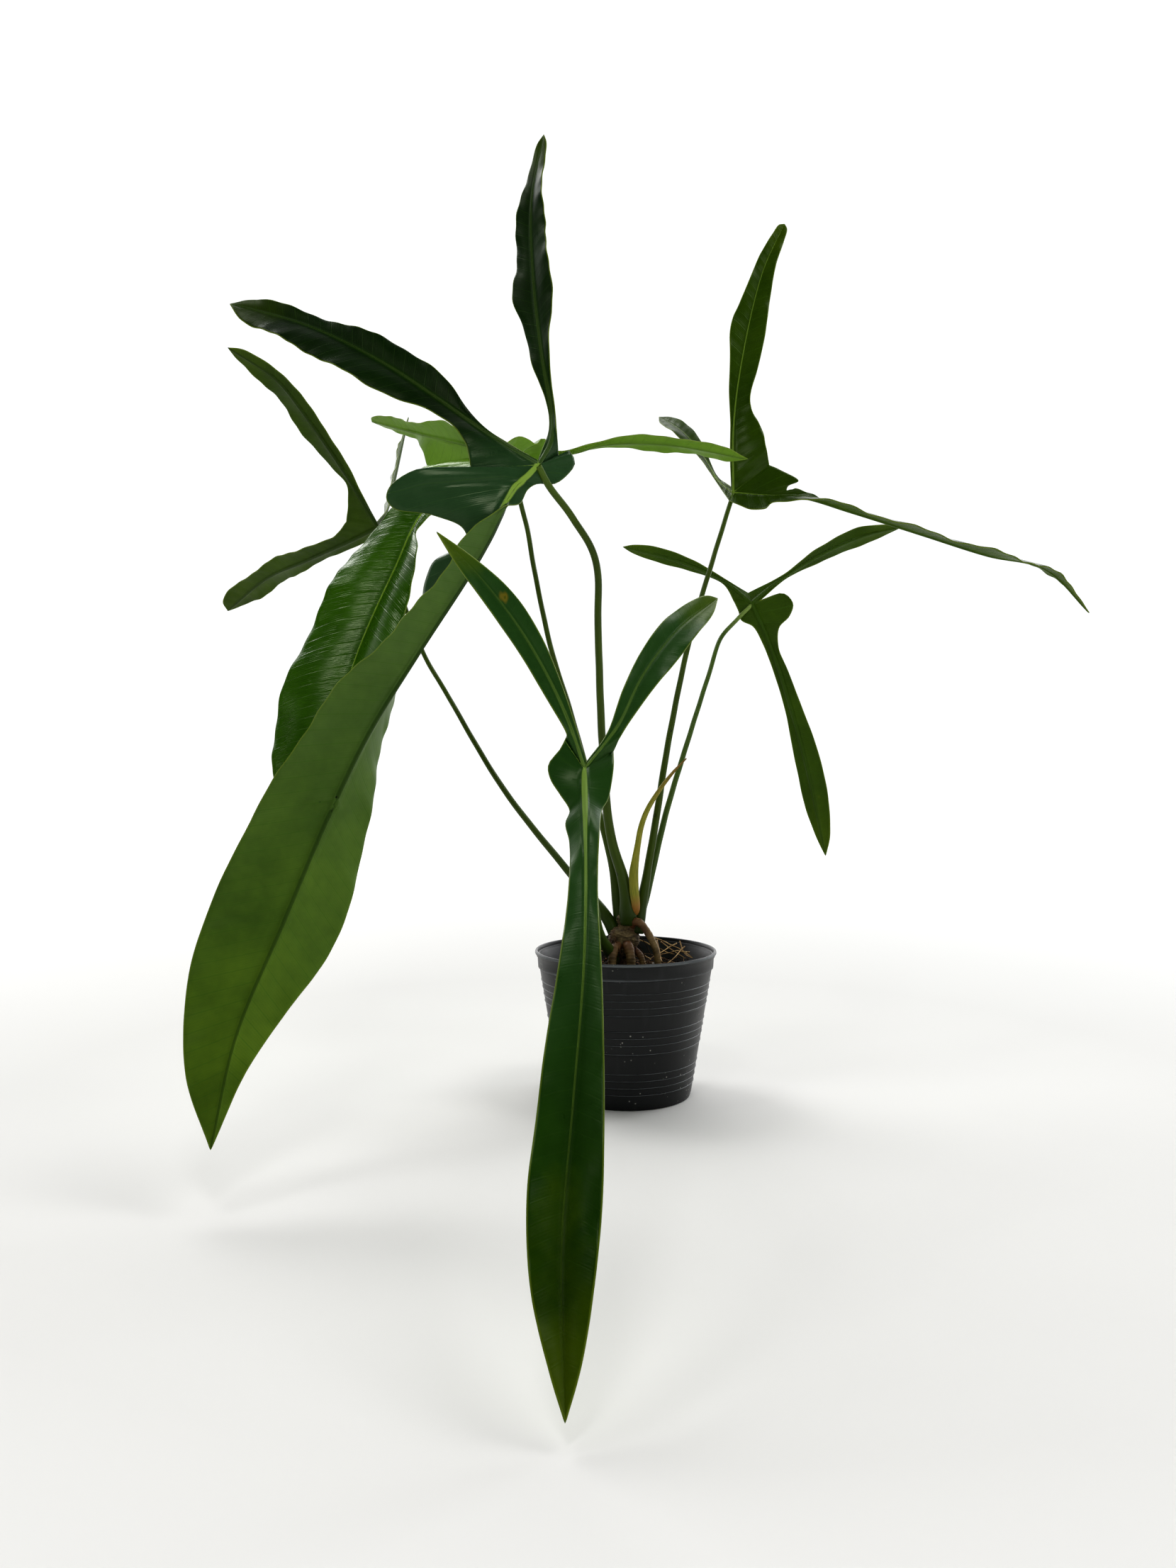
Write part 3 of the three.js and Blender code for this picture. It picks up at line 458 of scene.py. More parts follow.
# The upper right leaf, with its long lobe level and seen edge on.
leafE = {
    "seed": 5.2,
    "look": {
        "top": ["#223800", "#304604"], "under": ["#344a06", "#405810"], "rib": [0.5, 0.3], "specular": 0.2,
    },
    "ribRoot": 1.5,
    "wave": [1.2, 60, 1.7],
    "camber": 0.05,
    "webs": [[112, 57, 465], [83, 56, 448], [81, 50, 436]],
    "ribs": [{  # long lobe
        "path": [
            [84, 54, 443], [112, 54, 441], [137, 54, 440], [174, 54, 429], [231, 59, 412],
            [282, 64, 397], [329, 69, 387], [365, 74, 354],
        ],
        "face": [[0, 0.1, -0.45, 0.9], [0.2, 0.24, -0.2, 0.9], [1, 0.24, -0.2, 0.9]],
        "left": [
            [120, 55, 461, 8], [134, 54, 453, 16], [126, 54, 449, 22], [125, 54, 446, 28],
            [132, 55, 446, 36], [78, 11], [110, 19], [170, 22], [220, 20], [265, 11],
        ],
        "right": [
            [88, 42, 431, 6], [96, 39, 427, 12], [106, 40, 428, 20], [113, 44, 434, 30], [70, 11],
            [110, 19], [170, 22], [220, 20], [265, 11],
        ],
        "lift": 7,
    }, {  # up lobe
        "path": [[84, 54, 443], [85, 59, 496], [93, 69, 551], [111, 84, 624], [130, 94, 667]],
        "face": [[0, 0.1, -0.45, 0.9], [0.2, 0, -0.95, 0.2], [1, 0, -0.95, 0.1]],
        "left": [
            [30, 2], [55, 2.5], [80, 6], [104, 9], [128, 13.5], [142, 13.5], [155, 11], [178, 8],
            [200, 7], [222, 5], [231, 3.5],
        ],
        "right": [
            [35, 25], [50, 22], [68, 12], [80, 10.5], [101, 13], [127, 14], [160, 12], [195, 8],
            [220, 5.5], [231, 3.5],
        ],
    }, {  # back lobe
        "path": [[84, 54, 443], [74, 74, 458], [67, 99, 480], [53, 129, 509], [34, 164, 533]],
        "face": [[0, 0.1, -0.45, 0.9], [0.4, -0.1, -0.5, 0.85], [1, -0.3, -0.4, 0.85]],
        "left": [[40, 2], [70, 4], [105, 8], [138, 6]],
        "right": [[30, 2], [70, 4], [105, 8], [138, 6]],
    }],
}

# The small leaf at the right, seen from below.
leafF = {
    "seed": 6.0,
    "look": {"top": ["#1c3c00", "#2a4a04"], "under": ["#2c4400", "#3a5404"], "rib": [0.5, 0.3]},
    "ribRoot": 1.5,
    "wave": [1, 50, 2.6],
    "camber": 0.05,
    "webs": [[88, 75, 362], [99, 80, 370], [107, 73, 363]],
    "ribs": [{  # long lobe
        "path": [[101, 74, 361], [115, 69, 328], [130, 62, 278], [142, 56, 229], [154, 50, 166]],
        "face": [[0, 0.1, 0.9, 0.4], [1, 0.3, 0.9, 0.2]],
        "left": [
            [91, 74, 355, 4], [93, 73, 348, 10], [102, 72, 343, 18], [109, 70, 330, 30], [60, 4.5],
            [90, 5], [130, 8], [165, 8], [190, 4],
        ],
        "right": [
            [126, 75, 369, 4], [133, 73, 361, 8], [130, 72, 351, 13], [122, 71, 342, 20],
            [121, 68, 326, 32], [60, 6], [90, 8], [130, 11], [165, 10], [190, 6],
        ],
    }, {  # left lobe
        "path": [[101, 74, 361], [80, 79, 379], [48, 86, 395], [1, 94, 409]],
        "face": [[0, 0.1, 0.9, 0.4], [1, 0.1, 0.8, 0.6]],
        "left": [[28, 2], [60, 5], [85, 6], [105, 4]],
        "right": [[28, 2], [60, 5], [85, 6], [105, 4]],
    }, {  # right lobe
        "path": [[101, 74, 361], [131, 79, 385], [163, 86, 404], [195, 94, 418], [225, 102, 426]],
        "face": [[0, 0.1, 0.9, 0.4], [1, -0.1, 0.8, 0.6]],
        "left": [[35, 2], [70, 6], [105, 8], [130, 5]],
        "right": [[35, 2], [70, 6], [105, 8], [130, 5]],
    }],
}

# the blades follow the same ribs and margins as the frame's, in finer steps
leafBuild = {
    "stationGap": 1.9,      # mm along a rib between rays
    "crowding": 0.07,       # how far the rays gather at both ends of a rib
    "innerColumns": 4,      # points across the rib's swelling
    "outerColumns": 11,     # points from there to the margin
    "outerPower": 0.92,     # under 1 they gather near the margin
    "swelling": 1.3,        # the swelling is this many times as wide as the rib is high
    "swellingShare": 0.45,  # but takes no more of the blade's reach than this
    "marginHalf": 0.42,     # half the blade's thickness
    "edgeRound": 0.35,      # how far the rounded edge stands out
    "upperDome": 0.35,      # how much less a rib stands out on the upper side
    "usualLift": 12,        # degrees that a blade rises from its rib
    "veinLean": 0.6,        # how far side veins run forward for each millimetre out
    "calmHub": 35,          # the wave is full this far from the hub
    "fullWaveReach": 14,    # and on blades at least this wide
    "veinGap": 9.0,         # mm between side veins
    "veinRelief": 0.16,     # mm that the blade swells between them
    "flutter": 0.5,         # mm that the margin ripples
    "flutterLength": 19,    # mm from ripple to ripple
    "creaseDepth": 30,      # mm off a crease, square to the blade, where it still presses it
}
pointKeys = ("place", "across", "reach", "half", "v", "vein", "rib", "swelling", "far")


def pointRows(shape, **known):
    # one row of pointKeys for each point of a grid, with 0 for what isn't known
    return np.stack([np.broadcast_to(known.get(key, 0.0), shape).ravel() for key in pointKeys], 1)


def ribFrames(rib):
    # along the rib: its line, tangent, face (the way the upper side looks) and left = face x tangent
    steps = 400
    line, length = evenLine(rib["path"], steps)
    s = np.linspace(0, length, steps + 1)
    station = np.arange(steps + 1)
    tangent = unit(line[np.minimum(station + 6, steps)] - line[np.maximum(station - 4, 0)])
    face = readTable(rib["face"], s / length)
    face = unit(face - (face * tangent).sum(1)[:, None] * tangent)
    return {"s": s, "length": length, "all": np.hstack([line, face, np.cross(face, tangent)])}


def framesAt(frames, s):
    # point, face and left at places s
    a = np.stack([np.interp(s, frames["s"], frames["all"][:, k]) for k in range(9)], 1)
    return a[:, :3], unit(a[:, 3:6]), unit(a[:, 6:])


def marginLine(rib, frames, side, web, s):
    # the margin point that the side vein from place s runs to: a smooth curve through the web, the knots and
    # the tip, where a knot [s, w, lift] is point + w (cos lift outward + sin lift face)
    sign = 1 if side == "left" else -1
    points, bases = [np.array(web, float)], [0.0]
    for knot in rib[side]:
        if len(knot) == 4:
            points.append(np.array(knot[:3], float))
            bases.append(knot[3])
            continue
        place, w = knot[:2]
        lift = math.radians(knot[2] if len(knot) == 3 else rib.get("lift", leafBuild["usualLift"]))
        point, face, left = (a[0] for a in framesAt(frames, np.array([place])))
        points.append(point + w * (math.cos(lift) * sign * left + math.sin(lift) * face))
        bases.append(max(place - leafBuild["veinLean"] * w, bases[-1] + 2))
    points.append(frames["all"][-1, :3])
    bases.append(frames["length"])
    return catmull(points, readKnots([[b, i] for i, b in enumerate(bases)], s))


def ribSpine(frames, ribRoot, first, number):
    # stations along a rib: s = length t, t = u - crowding sin(2 pi u), and half the thickness there,
    # ribRoot (1 - t)^0.8 + 0.35 t + 0.25; the hub is station 0 of every rib
    n = int(frames["length"] / leafBuild["stationGap"])
    u = np.linspace(0, 1, n + 1)
    t = u - leafBuild["crowding"] * np.sin(fullTurn * u)
    s = t * frames["length"]
    half = np.maximum(ribRoot * (1 - t)**0.8 + 0.35 * t + 0.25, leafBuild["marginHalf"])
    half[-1] = leafBuild["marginHalf"]
    rows = pointRows(n, place=s[1:], reach=1, half=half[1:], rib=number, far=u[1:])
    index = np.concatenate([[0], first + np.arange(n)])
    return {"s": s, "half": half, "index": index, "number": number}, framesAt(frames, s)[0][1:], rows


def sideRays(rib, frames, spine, side, web):
    # one ray for each station: its place, where it starts, the blade's face there and the margin point that
    # it runs to; on the left from tip to hub, on the right from hub to tip
    sign = 1 if side == "left" else -1
    keep = slice(0, -1) if sign > 0 else slice(1, -1)
    s = spine["s"][keep]
    base, face, _ = framesAt(frames, s)
    rays = {"s": s, "half": spine["half"][keep], "index": spine["index"][keep], "base": base, "face": face,
            "target": marginLine(rib, frames, side, web, s), "far": s / frames["length"],
            "sign": np.full(len(s), sign), "rib": np.full(len(s), spine["number"])}
    return {key: value[::-sign] for key, value in rays.items()}


def alongSegment(points, face, start, end, width):
    # exp(-(distance from the segment, measured across the face / width)^2), less at its two ends
    start, end = np.array(start, float), np.array(end, float)
    t = ((points - start) @ (end - start)) / ((end - start) @ (end - start))
    away = points - start - np.clip(t, 0, 1)[..., None] * (end - start)
    off = (away * face).sum(-1)
    across = np.sqrt(np.maximum((away**2).sum(-1) - off**2, 0))
    ends = smoothStep(t, -0.05, 0.15) * (1 - smoothStep(t, 0.75, 1.1))
    return np.exp(-(across / width)**2) * ends * (np.abs(off) < leafBuild["creaseDepth"])


def bladeHeight(leaf, seed, rays, grid, d, v, reach, vein):
    # how far the blade stands off its flat rays: camber reach sin(pi v) + wave v^2 sin(2 pi s / length), calm
    # at the hub, with ripples at the margin, side veins, a fold along the long lobe's rib and pressed creases
    build = leafBuild
    s, sign = rays["s"], rays["sign"]
    calm = np.minimum(s / build["calmHub"], 1)[:, None]
    wide = np.minimum(reach / build["fullWaveReach"], 1)[:, None]
    height, length, phase = leaf["wave"]
    wave = np.sin(fullTurn * s / length + phase + sign)[:, None]
    bend = leaf["camber"] * reach[:, None] * np.sin(math.pi * v) + height * wide * v * v * wave
    ripple = np.sin(fullTurn * s / build["flutterLength"] + 2 * np.sin(s / 33 + seed) + 2 * sign)[:, None]
    flutter = leaf.get("flutter", build["flutter"]) * v**3 * wide * ripple
    swell = leaf.get("veinRelief", build["veinRelief"]) * np.cos(fullTurn * vein)
    relief = swell * np.minimum(v * 4, 1) * (1 - v**4) * wide
    vee = leaf.get("fold", 0.0) * d * smoothStep(s, 60, 130)[:, None] * (rays["rib"] == 0)[:, None]
    pressed = sum(high * alongSegment(grid, rays["face"][:, None], start, end, width)
                  for start, end, width, high in leaf.get("creases", []))
    return (bend + flutter) * calm + relief + vee + pressed


def leafSector(leaf, seed, rays, first):
    # the blade between two ribs: P(s, d) = rib(s) + (margin(s) - rib(s)) d / reach + face height
    build = leafBuild
    base, face, target, s = rays["base"], rays["face"], rays["target"], rays["s"]
    reach = np.linalg.norm(target - base, axis=1)
    swelling = np.minimum(build["swelling"] * rays["half"], build["swellingShare"] * reach)
    inner = np.linspace(0, 1, build["innerColumns"] + 1)[1:]
    outer = np.linspace(0, 1, build["outerColumns"] + 1)[1:]**build["outerPower"]
    d = np.hstack([swelling[:, None] * inner, swelling[:, None] + (reach - swelling)[:, None] * outer])
    v = d / reach[:, None]
    vein = (s / build["veinGap"] + 0.35 * np.sin(s / 27 + seed) + 0.5 * rays["rib"])[:, None]
    grid = base[:, None] + (target - base)[:, None] * v[..., None]
    grid = grid + face[:, None] * bladeHeight(leaf, seed, rays, grid, d, v, reach, vein)[..., None]
    rows = pointRows(v.shape, place=s[:, None], across=d * rays["sign"][:, None], reach=reach[:, None],
                     half=rays["half"][:, None], v=v, vein=vein, rib=rays["rib"][:, None],
                     swelling=swelling[:, None], far=rays["far"][:, None])
    ids = np.hstack([rays["index"][:, None], first + np.arange(v.size).reshape(v.shape)])
    return grid.reshape(-1, 3), rows, ids


def leafSheet(leaf, seed):
    # the middle surface: the hub, the stations of every rib and a sector between each rib and the next
    ribs = [(rib, ribFrames(rib)) for rib in leaf["ribs"]]
    points = [np.array(leaf["ribs"][0]["path"][:1], float)]
    data = [pointRows(1, reach=1, half=leaf["ribRoot"] + 0.25)]
    count, spines = 1, []
    for number, (rib, frames) in enumerate(ribs):
        spine, stations, rows = ribSpine(frames, leaf["ribRoot"], count, number)
        spines.append(spine)
        points.append(stations)
        data.append(rows)
        count += len(stations)
    quads, thirds, margin = [], [], []
    for a, web in enumerate(leaf["webs"]):
        b = (a + 1) % len(ribs)
        left = sideRays(*ribs[a], spines[a], "left", web)
        right = sideRays(*ribs[b], spines[b], "right", web)
        rays = {key: np.concatenate([left[key], right[key]]) for key in left}
        grid, rows, ids = leafSector(leaf, seed, rays, count)
        points.append(grid)
        data.append(rows)
        count += len(grid)
        quads.append(np.stack([ids[:-1, :-1], ids[:-1, 1:], ids[1:, 1:], ids[1:, :-1]], -1).reshape(-1, 4))
        tipA, tipB = spines[a]["index"][-1], spines[b]["index"][-1]
        columns = ids.shape[1] - 1
        thirds.append(np.stack([np.full(columns, tipA), ids[0, 1:], ids[0, :-1]], 1))
        thirds.append(np.stack([ids[-1, :-1], ids[-1, 1:], np.full(columns, tipB)], 1))
        margin.append(np.concatenate([[tipA], ids[:, -1]]))
    return [np.concatenate(part) for part in (points, data, quads, thirds, margin)]


def pointNormals(points, triangles):
    # area-weighted mean of the normals of the triangles round each point
    a, b, c = (points[triangles[:, k]] for k in range(3))
    n = np.cross(b - a, c - a)
    total = np.zeros_like(points)
    for k in range(3):
        np.add.at(total, triangles[:, k], n)
    return unit(total)


def leafShades(leaf, points, rib, place):
    # shares that the material reads: a painted backlit glow (pale) and a painted grey sheen along each
    # rib, how much ribs show, old scars
    shades = {"pale": np.zeros(len(points)), "show": np.ones(len(points)), "paintedSheen": np.zeros(len(points)),
              "blot": np.zeros(len(points))}
    for x, y, z, radius in leaf.get("blots", []):
        shades["blot"] = np.maximum(shades["blot"], 1 - np.linalg.norm(points - (x, y, z), axis=1) / radius)
    for number, knots in enumerate(leaf.get("paintedSheen", [])):
        shades["paintedSheen"] = np.where(rib == number, readKnots(knots, place), shades["paintedSheen"])
    for number, amount in enumerate(leaf.get("ribShow", [])):
        shades["show"] = np.where((rib == number) & (place > 0), amount, shades["show"])
    for number, amount in enumerate(leaf.get("pale", [])):
        shades["pale"] = np.where(rib == number, amount * smoothStep(place, 8, 60), shades["pale"])
    shades["pale"] = np.maximum(shades["pale"], leaf.get("paintedBacklightHub", 0) * (1 - smoothStep(place, 20, 45)))
    return shades


def makeLeaf(name, leaf, material, node):
    # upper side = middle + normal (marginHalf + upperDome dome), lower side = middle - normal (marginHalf +
    # dome), dome = (half - marginHalf) sqrt(1 - (across / swelling)^2), closed by a rounded margin
    points, data, quads, thirds, margin = leafSheet(leaf, leaf["seed"])
    known = dict(zip(pointKeys, data.T))
    triangles = np.concatenate([quads[:, [0, 1, 2]], quads[:, [0, 2, 3]], thirds])
    normal = pointNormals(points, triangles)
    rim = leafBuild["marginHalf"]
    swelling = known["swelling"]
    ratio = np.where(swelling > 0, np.abs(known["across"]) / np.maximum(swelling, 1e-6), 0)
    dome = np.maximum(known["half"] - rim, 0) * np.sqrt(np.maximum(1 - ratio**2, 0))
    upper = points + normal * (rim + leafBuild["upperDome"] * dome)[:, None]
    lower = points - normal * (rim + dome)[:, None]
    around = np.roll(margin, -1)
    outward = unit(np.cross(unit(points[around] - points[np.roll(margin, 1)]), normal[margin]))
    edge = points[margin] + outward * leafBuild["edgeRound"]
    n, m = len(points), len(margin)
    ring = 2 * n + np.arange(m)
    nextRing = np.roll(ring, -1)
    walls = [np.stack([around, margin, ring, nextRing], 1),
             np.stack([nextRing, ring, n + margin, n + around], 1)]
    faces = [quads, thirds, n + quads[:, ::-1], n + thirds[:, ::-1], *walls]
    shown = {key: known[key] for key in ("across", "vein", "half", "far")}
    shown.update(leafShades(leaf, points, known["rib"], known["place"]))
    shown["fromEdge"] = known["reach"] * (1 - known["v"])
    everyone = np.concatenate([np.arange(n), np.arange(n), margin])
    values = {key: value[everyone] for key, value in shown.items()}
    values["fromEdge"][2 * n:] = 0
    values["upper"] = np.concatenate([np.ones(n), np.zeros(n), np.full(m, 0.5)])
    return makePiece(name, np.concatenate([upper, lower, edge]), faces, material, [node], values)


greenLook = {
    "top": ["#163a00", "#204a02"], "under": ["#4a6600", "#5a7608"],      # two tones in clouds
    # pale is a painted backlit glow and paintedSheen a painted grey sheen, each below and above
    "pale": ["#6a902a", "#62881c"], "paintedSheen": ["#6c7e4a", "#4a6a40"],     # below, above
    "vein": "#3f6418", "veins": [0.22, 0.2],
    "rib": [0.95, 0.45], "ribTone": ["#3d5a10", "#8aa840"], "ribWidth": [0.6, 0.7],
    "ribShadow": 0.25, "shadow": "#0f2a00", "edge": "#7c8c30",
    "gloss": [0.26, 0.34], "underRough": 0.48, "waxShine": 0.0, "specular": 0.3,
    "spots": 0.25, "old": 0.2, "oldTone": "#5f7000", "veinDepth": -0.5, "bump": 0.4, "streaks": 1.0,
}


def leafMaterial(name, look):
    # leathery aroid blade: the waxy upper skin is dark and glossy, the underside paler and matt
    material, tree, shader = newMaterial(name, Specular_IOR_Level=look["specular"], IOR=1.45,
                                         Specular_Tint="#e2edc8")
    upper, across, vein, half, pale, fromEdge, far, show, paintedSheen, blot = (
        addNode(tree, "Attribute", attribute_name=key).outputs["Fac"]
        for key in ("upper", "across", "vein", "half", "pale", "fromEdge", "far", "show", "paintedSheen", "blot"))
    where = addNode(tree, "TexCoord").outputs["Object"]
    cloud = addNode(tree, "TexNoise", {"Vector": where, "Scale": 1 / 0.045, "Detail": 4.0, "Roughness": 0.6})
    mottle = addNode(tree, "TexNoise", {"Vector": where, "Scale": 1 / 0.007, "Detail": 3.0, "Roughness": 0.6})
    soft = addNode(tree, "MapRange", [cloud, 0.32, 0.68])
    sides = []
    # two tones in clouds for each side, with a painted backlit glow over them where pale is set
    for side, key in enumerate(("under", "top")):
        tone = addNode(tree, "Mix", [soft, *look[key]], data_type="RGBA")
        sides.append(addNode(tree, "Mix", [pale, tone, look["pale"][side]], data_type="RGBA"))
    colour = addNode(tree, "Mix", [upper, *sides], data_type="RGBA")
    # a painted grey sheen over the colour where paintedSheen is set, and the rib tones
    paintedSheenTone, ribTone = (addNode(tree, "Mix", [upper, *look[key]], data_type="RGBA")
                          for key in ("paintedSheen", "ribTone"))
    colour = addNode(tree, "Mix", [paintedSheen, colour, paintedSheenTone], data_type="RGBA")
    fleck = addNode(tree, "MapRange", [mottle, 0.25, 0.75, 0.93, 1.07])
    colour = addNode(tree, "Mix", [1.0, colour, fleck], data_type="RGBA", blend_type="MULTIPLY")
    # yellowing towards the tips, in clouds
    old = addNode(tree, "Math", [cloud, 0.5, far], operation="MULTIPLY_ADD")
    colour = overlay(tree, colour, look["oldTone"], old, 1.0, 1.3, 0.0, look["old"])
    # side veins: the distance from the nearest whole number, main ones and five finer ones between
    main = addNode(tree, "Math", [vein, 0.5], operation="PINGPONG")
    main = addNode(tree, "MapRange", [main, 0.0, 0.055, 1.0, 0.0])
    finer = addNode(tree, "Math", [vein, 6.0], operation="MULTIPLY")
    finer = addNode(tree, "Math", [finer, 0.5], operation="PINGPONG")
    finer = addNode(tree, "MapRange", [finer, 0.0, 0.35, 1.0, 0.0])
    lines = addNode(tree, "Math", [finer, 0.4, main], operation="MULTIPLY_ADD")
    strength = addNode(tree, "MapRange", [upper, 0.0, 1.0, *look["veins"]])
    lineMask = addNode(tree, "Math", [lines, strength], operation="MULTIPLY", use_clamp=True)
    colour = addNode(tree, "Mix", [lineMask, colour, look["vein"]], data_type="RGBA")
    # the midrib: a band about as wide as the rib that fades towards the tip, painted shadow lines beside it
    away = addNode(tree, "Math", [across], operation="ABSOLUTE")
    share = addNode(tree, "MapRange", [upper, 0.0, 1.0, *look["ribWidth"]])
    width = addNode(tree, "Math", [half, share], operation="MULTIPLY")
    band = addNode(tree, "Math", [away, width], operation="DIVIDE")
    colour = overlay(tree, colour, look["shadow"], band, 1.1, 2.2, look["ribShadow"], 0.0)
    ribMask = addNode(tree, "MapRange", [band, 0.7, 1.15, 1.0, 0.0])
    fade = addNode(tree, "MapRange", [far, 0.0, 1.0, *look["rib"]])
    fade = addNode(tree, "Math", [fade, show], operation="MULTIPLY")
    ribMask = addNode(tree, "Math", [ribMask, fade], operation="MULTIPLY")
    colour = addNode(tree, "Mix", [ribMask, colour, ribTone], data_type="RGBA")
    # the margin is a thin paler line, small marks are olive, an old scar is a tan ring round a green middle
    spots = addNode(tree, "TexVoronoi", {"Vector": where, "Scale": 1 / 0.05, "Randomness": 1.0})
    colour = overlay(tree, colour, look["edge"], fromEdge, 0.05, 0.5, 0.45, 0.0)
    colour = overlay(tree, colour, "#5f6a1e", spots, 0.02, 0.04, look["spots"], 0.0)
    colour = overlay(tree, colour, "#7a6a1c", blot, 0.05, 0.4, 0.0, 0.75)
    colour = overlay(tree, colour, look["top"][1], blot, 0.55, 0.75, 0.0, 0.7)
    # the hub, where the grey sheen is painted, is glossier; the underside is duller
    rough = addNode(tree, "MapRange", [mottle, 0.2, 0.8, *look["gloss"]])
    rough = addNode(tree, "Math", [paintedSheen, look["waxShine"], rough], operation="MULTIPLY_ADD")
    rough = addNode(tree, "Mix", [upper, look["underRough"], rough], data_type="FLOAT")
    # relief: mottling, veins and fine uneven streaks along them
    raised = addNode(tree, "Math", [mottle, 0.06], operation="MULTIPLY")
    raised = addNode(tree, "Math", [lines, look["veinDepth"], raised], operation="MULTIPLY_ADD")
    streakX = addNode(tree, "Math", [vein, 4.5], operation="MULTIPLY")
    streakY = addNode(tree, "Math", [across, 0.05], operation="MULTIPLY")
    streakAt = addNode(tree, "CombineXYZ", [streakX, streakY])
    streak = addNode(tree, "TexNoise", {"Vector": streakAt, "Scale": 1.0, "Detail": 3.0, "Roughness": 0.6})
    raised = addNode(tree, "Math", [streak, look["streaks"], raised], operation="MULTIPLY_ADD")
    finishMaterial(tree, shader, colour, rough, [look["bump"], 0.0002, raised])
    return material


for letter, leaf in zip("ABCDEF", (leafA, leafB, leafC, leafD, leafE, leafF)):
    skin = leafMaterial("waxy leaf " + letter, {**greenLook, **leaf["look"]})
    makeLeaf("leaf_" + letter, leaf, skin, "blade_" + letter.lower())
print("leaves done")


# stalks: smooth paths from the crown to each hub, and radii along them

petioles = {
    "A": {"path": [[2, -3, 122], [1.5, -5, 132], [-1.5, -6.5, 152], [-11, -9, 186], [-17, -21, 253],
                   [-20, -34, 328], [-22, -44, 376], [-37, -52, 402], [-53, -61, 422], [-60, -66, 434]],
          "radii": [[0, 6.4], [0.02, 6.5], [0.055, 4.9], [0.1, 4.1], [0.2, 3.4], [0.35, 2.9], [0.6, 2.6],
                    [1, 2.4]]},
    "B": {"path": [[-3, 4, 116], [-5, 5, 132], [-10, 6, 166], [-29, 14, 235], [-41, 20, 278], [-54, 28, 320],
                   [-67, 39, 380], [-73, 46, 414], [-80, 51, 445], [-78, 54, 472]],
          "radii": [[0, 5.2], [0.05, 4.2], [0.15, 2.8], [0.6, 2], [1, 1.9]]},
    "C": {"path": [[-6, 1, 110], [-14, 3, 126], [-42, 16, 158], [-91, 44, 217], [-137, 72, 290],
                   [-158, 84, 325], [-197, 104, 426]],
          "radii": [[0, 4.8], [0.06, 4.2], [0.15, 2.8], [0.6, 1.9], [1, 1.7]]},
    "D": {"path": [[-6, -3, 94], [-11, -11, 102], [-16, -24, 112], [-20, -48, 126], [-24, -126, 166],
                   [-27, -196, 205], [-29, -246, 235]],
          "radii": [[0, 5.4], [0.06, 4.2], [0.15, 2.9], [0.6, 2.2], [1, 1.9]], "ref": (1, 0, 0)},
    "E": {"path": [[8, -1, 115], [11, -1, 132], [22, 6, 194], [32, 14, 253], [49, 29, 330], [67, 42, 389],
                   [84, 54, 442]],
          "radii": [[0, 5], [0.05, 4.2], [0.15, 2.9], [0.6, 2.1], [1, 1.8]]},
    "F": {"path": [[6, 6, 114], [13, 9, 132], [31, 22, 201], [48, 34, 254], [66, 49, 307], [75, 59, 332],
                   [90, 69, 349], [101, 74, 360]],
          "radii": [[0, 3.4], [0.15, 2.6], [0.6, 1.9], [1, 1.6]]},
}
stalkBuild = {"along": 170, "around": 20, "channelDepth": 0.14, "channelTurn": 0.4, "ripple": 0.06}
greenStalk = {"tones": ["#2e4006", "#44580c"], "foot": "#24380e", "head": "#5c7626", "headShare": 0.4}
# the stalks of D and F are paler, and their pale heads are painted glare
paleStalk = dict(greenStalk, tones=["#38501a", "#526a28"], head="#8fa65a", headShare=0.8)


def makePetiole(name, petiole, material, node):
    # round stalk with a shallow channel: radius - channelDepth max(cos(a - channelTurn), 0)^6 + a ripple
    build = stalkBuild

    def channel(u, a):
        groove = np.maximum(np.cos(a - build["channelTurn"]), 0)**6 * smoothStep(u, 0.1, 0.3)
        return -build["channelDepth"] * groove + build["ripple"] * np.sin(u * 71 + 3 * a)

    radii = readKnots(petiole["radii"], np.linspace(0, 1, build["along"]))
    points, faces, values = sweep(petiole["path"], radii, build["around"], ref=petiole.get("ref", (0, -1, 0)),
                                  reliefFor=channel)
    return makePiece(name, points, faces, material, [node], values)


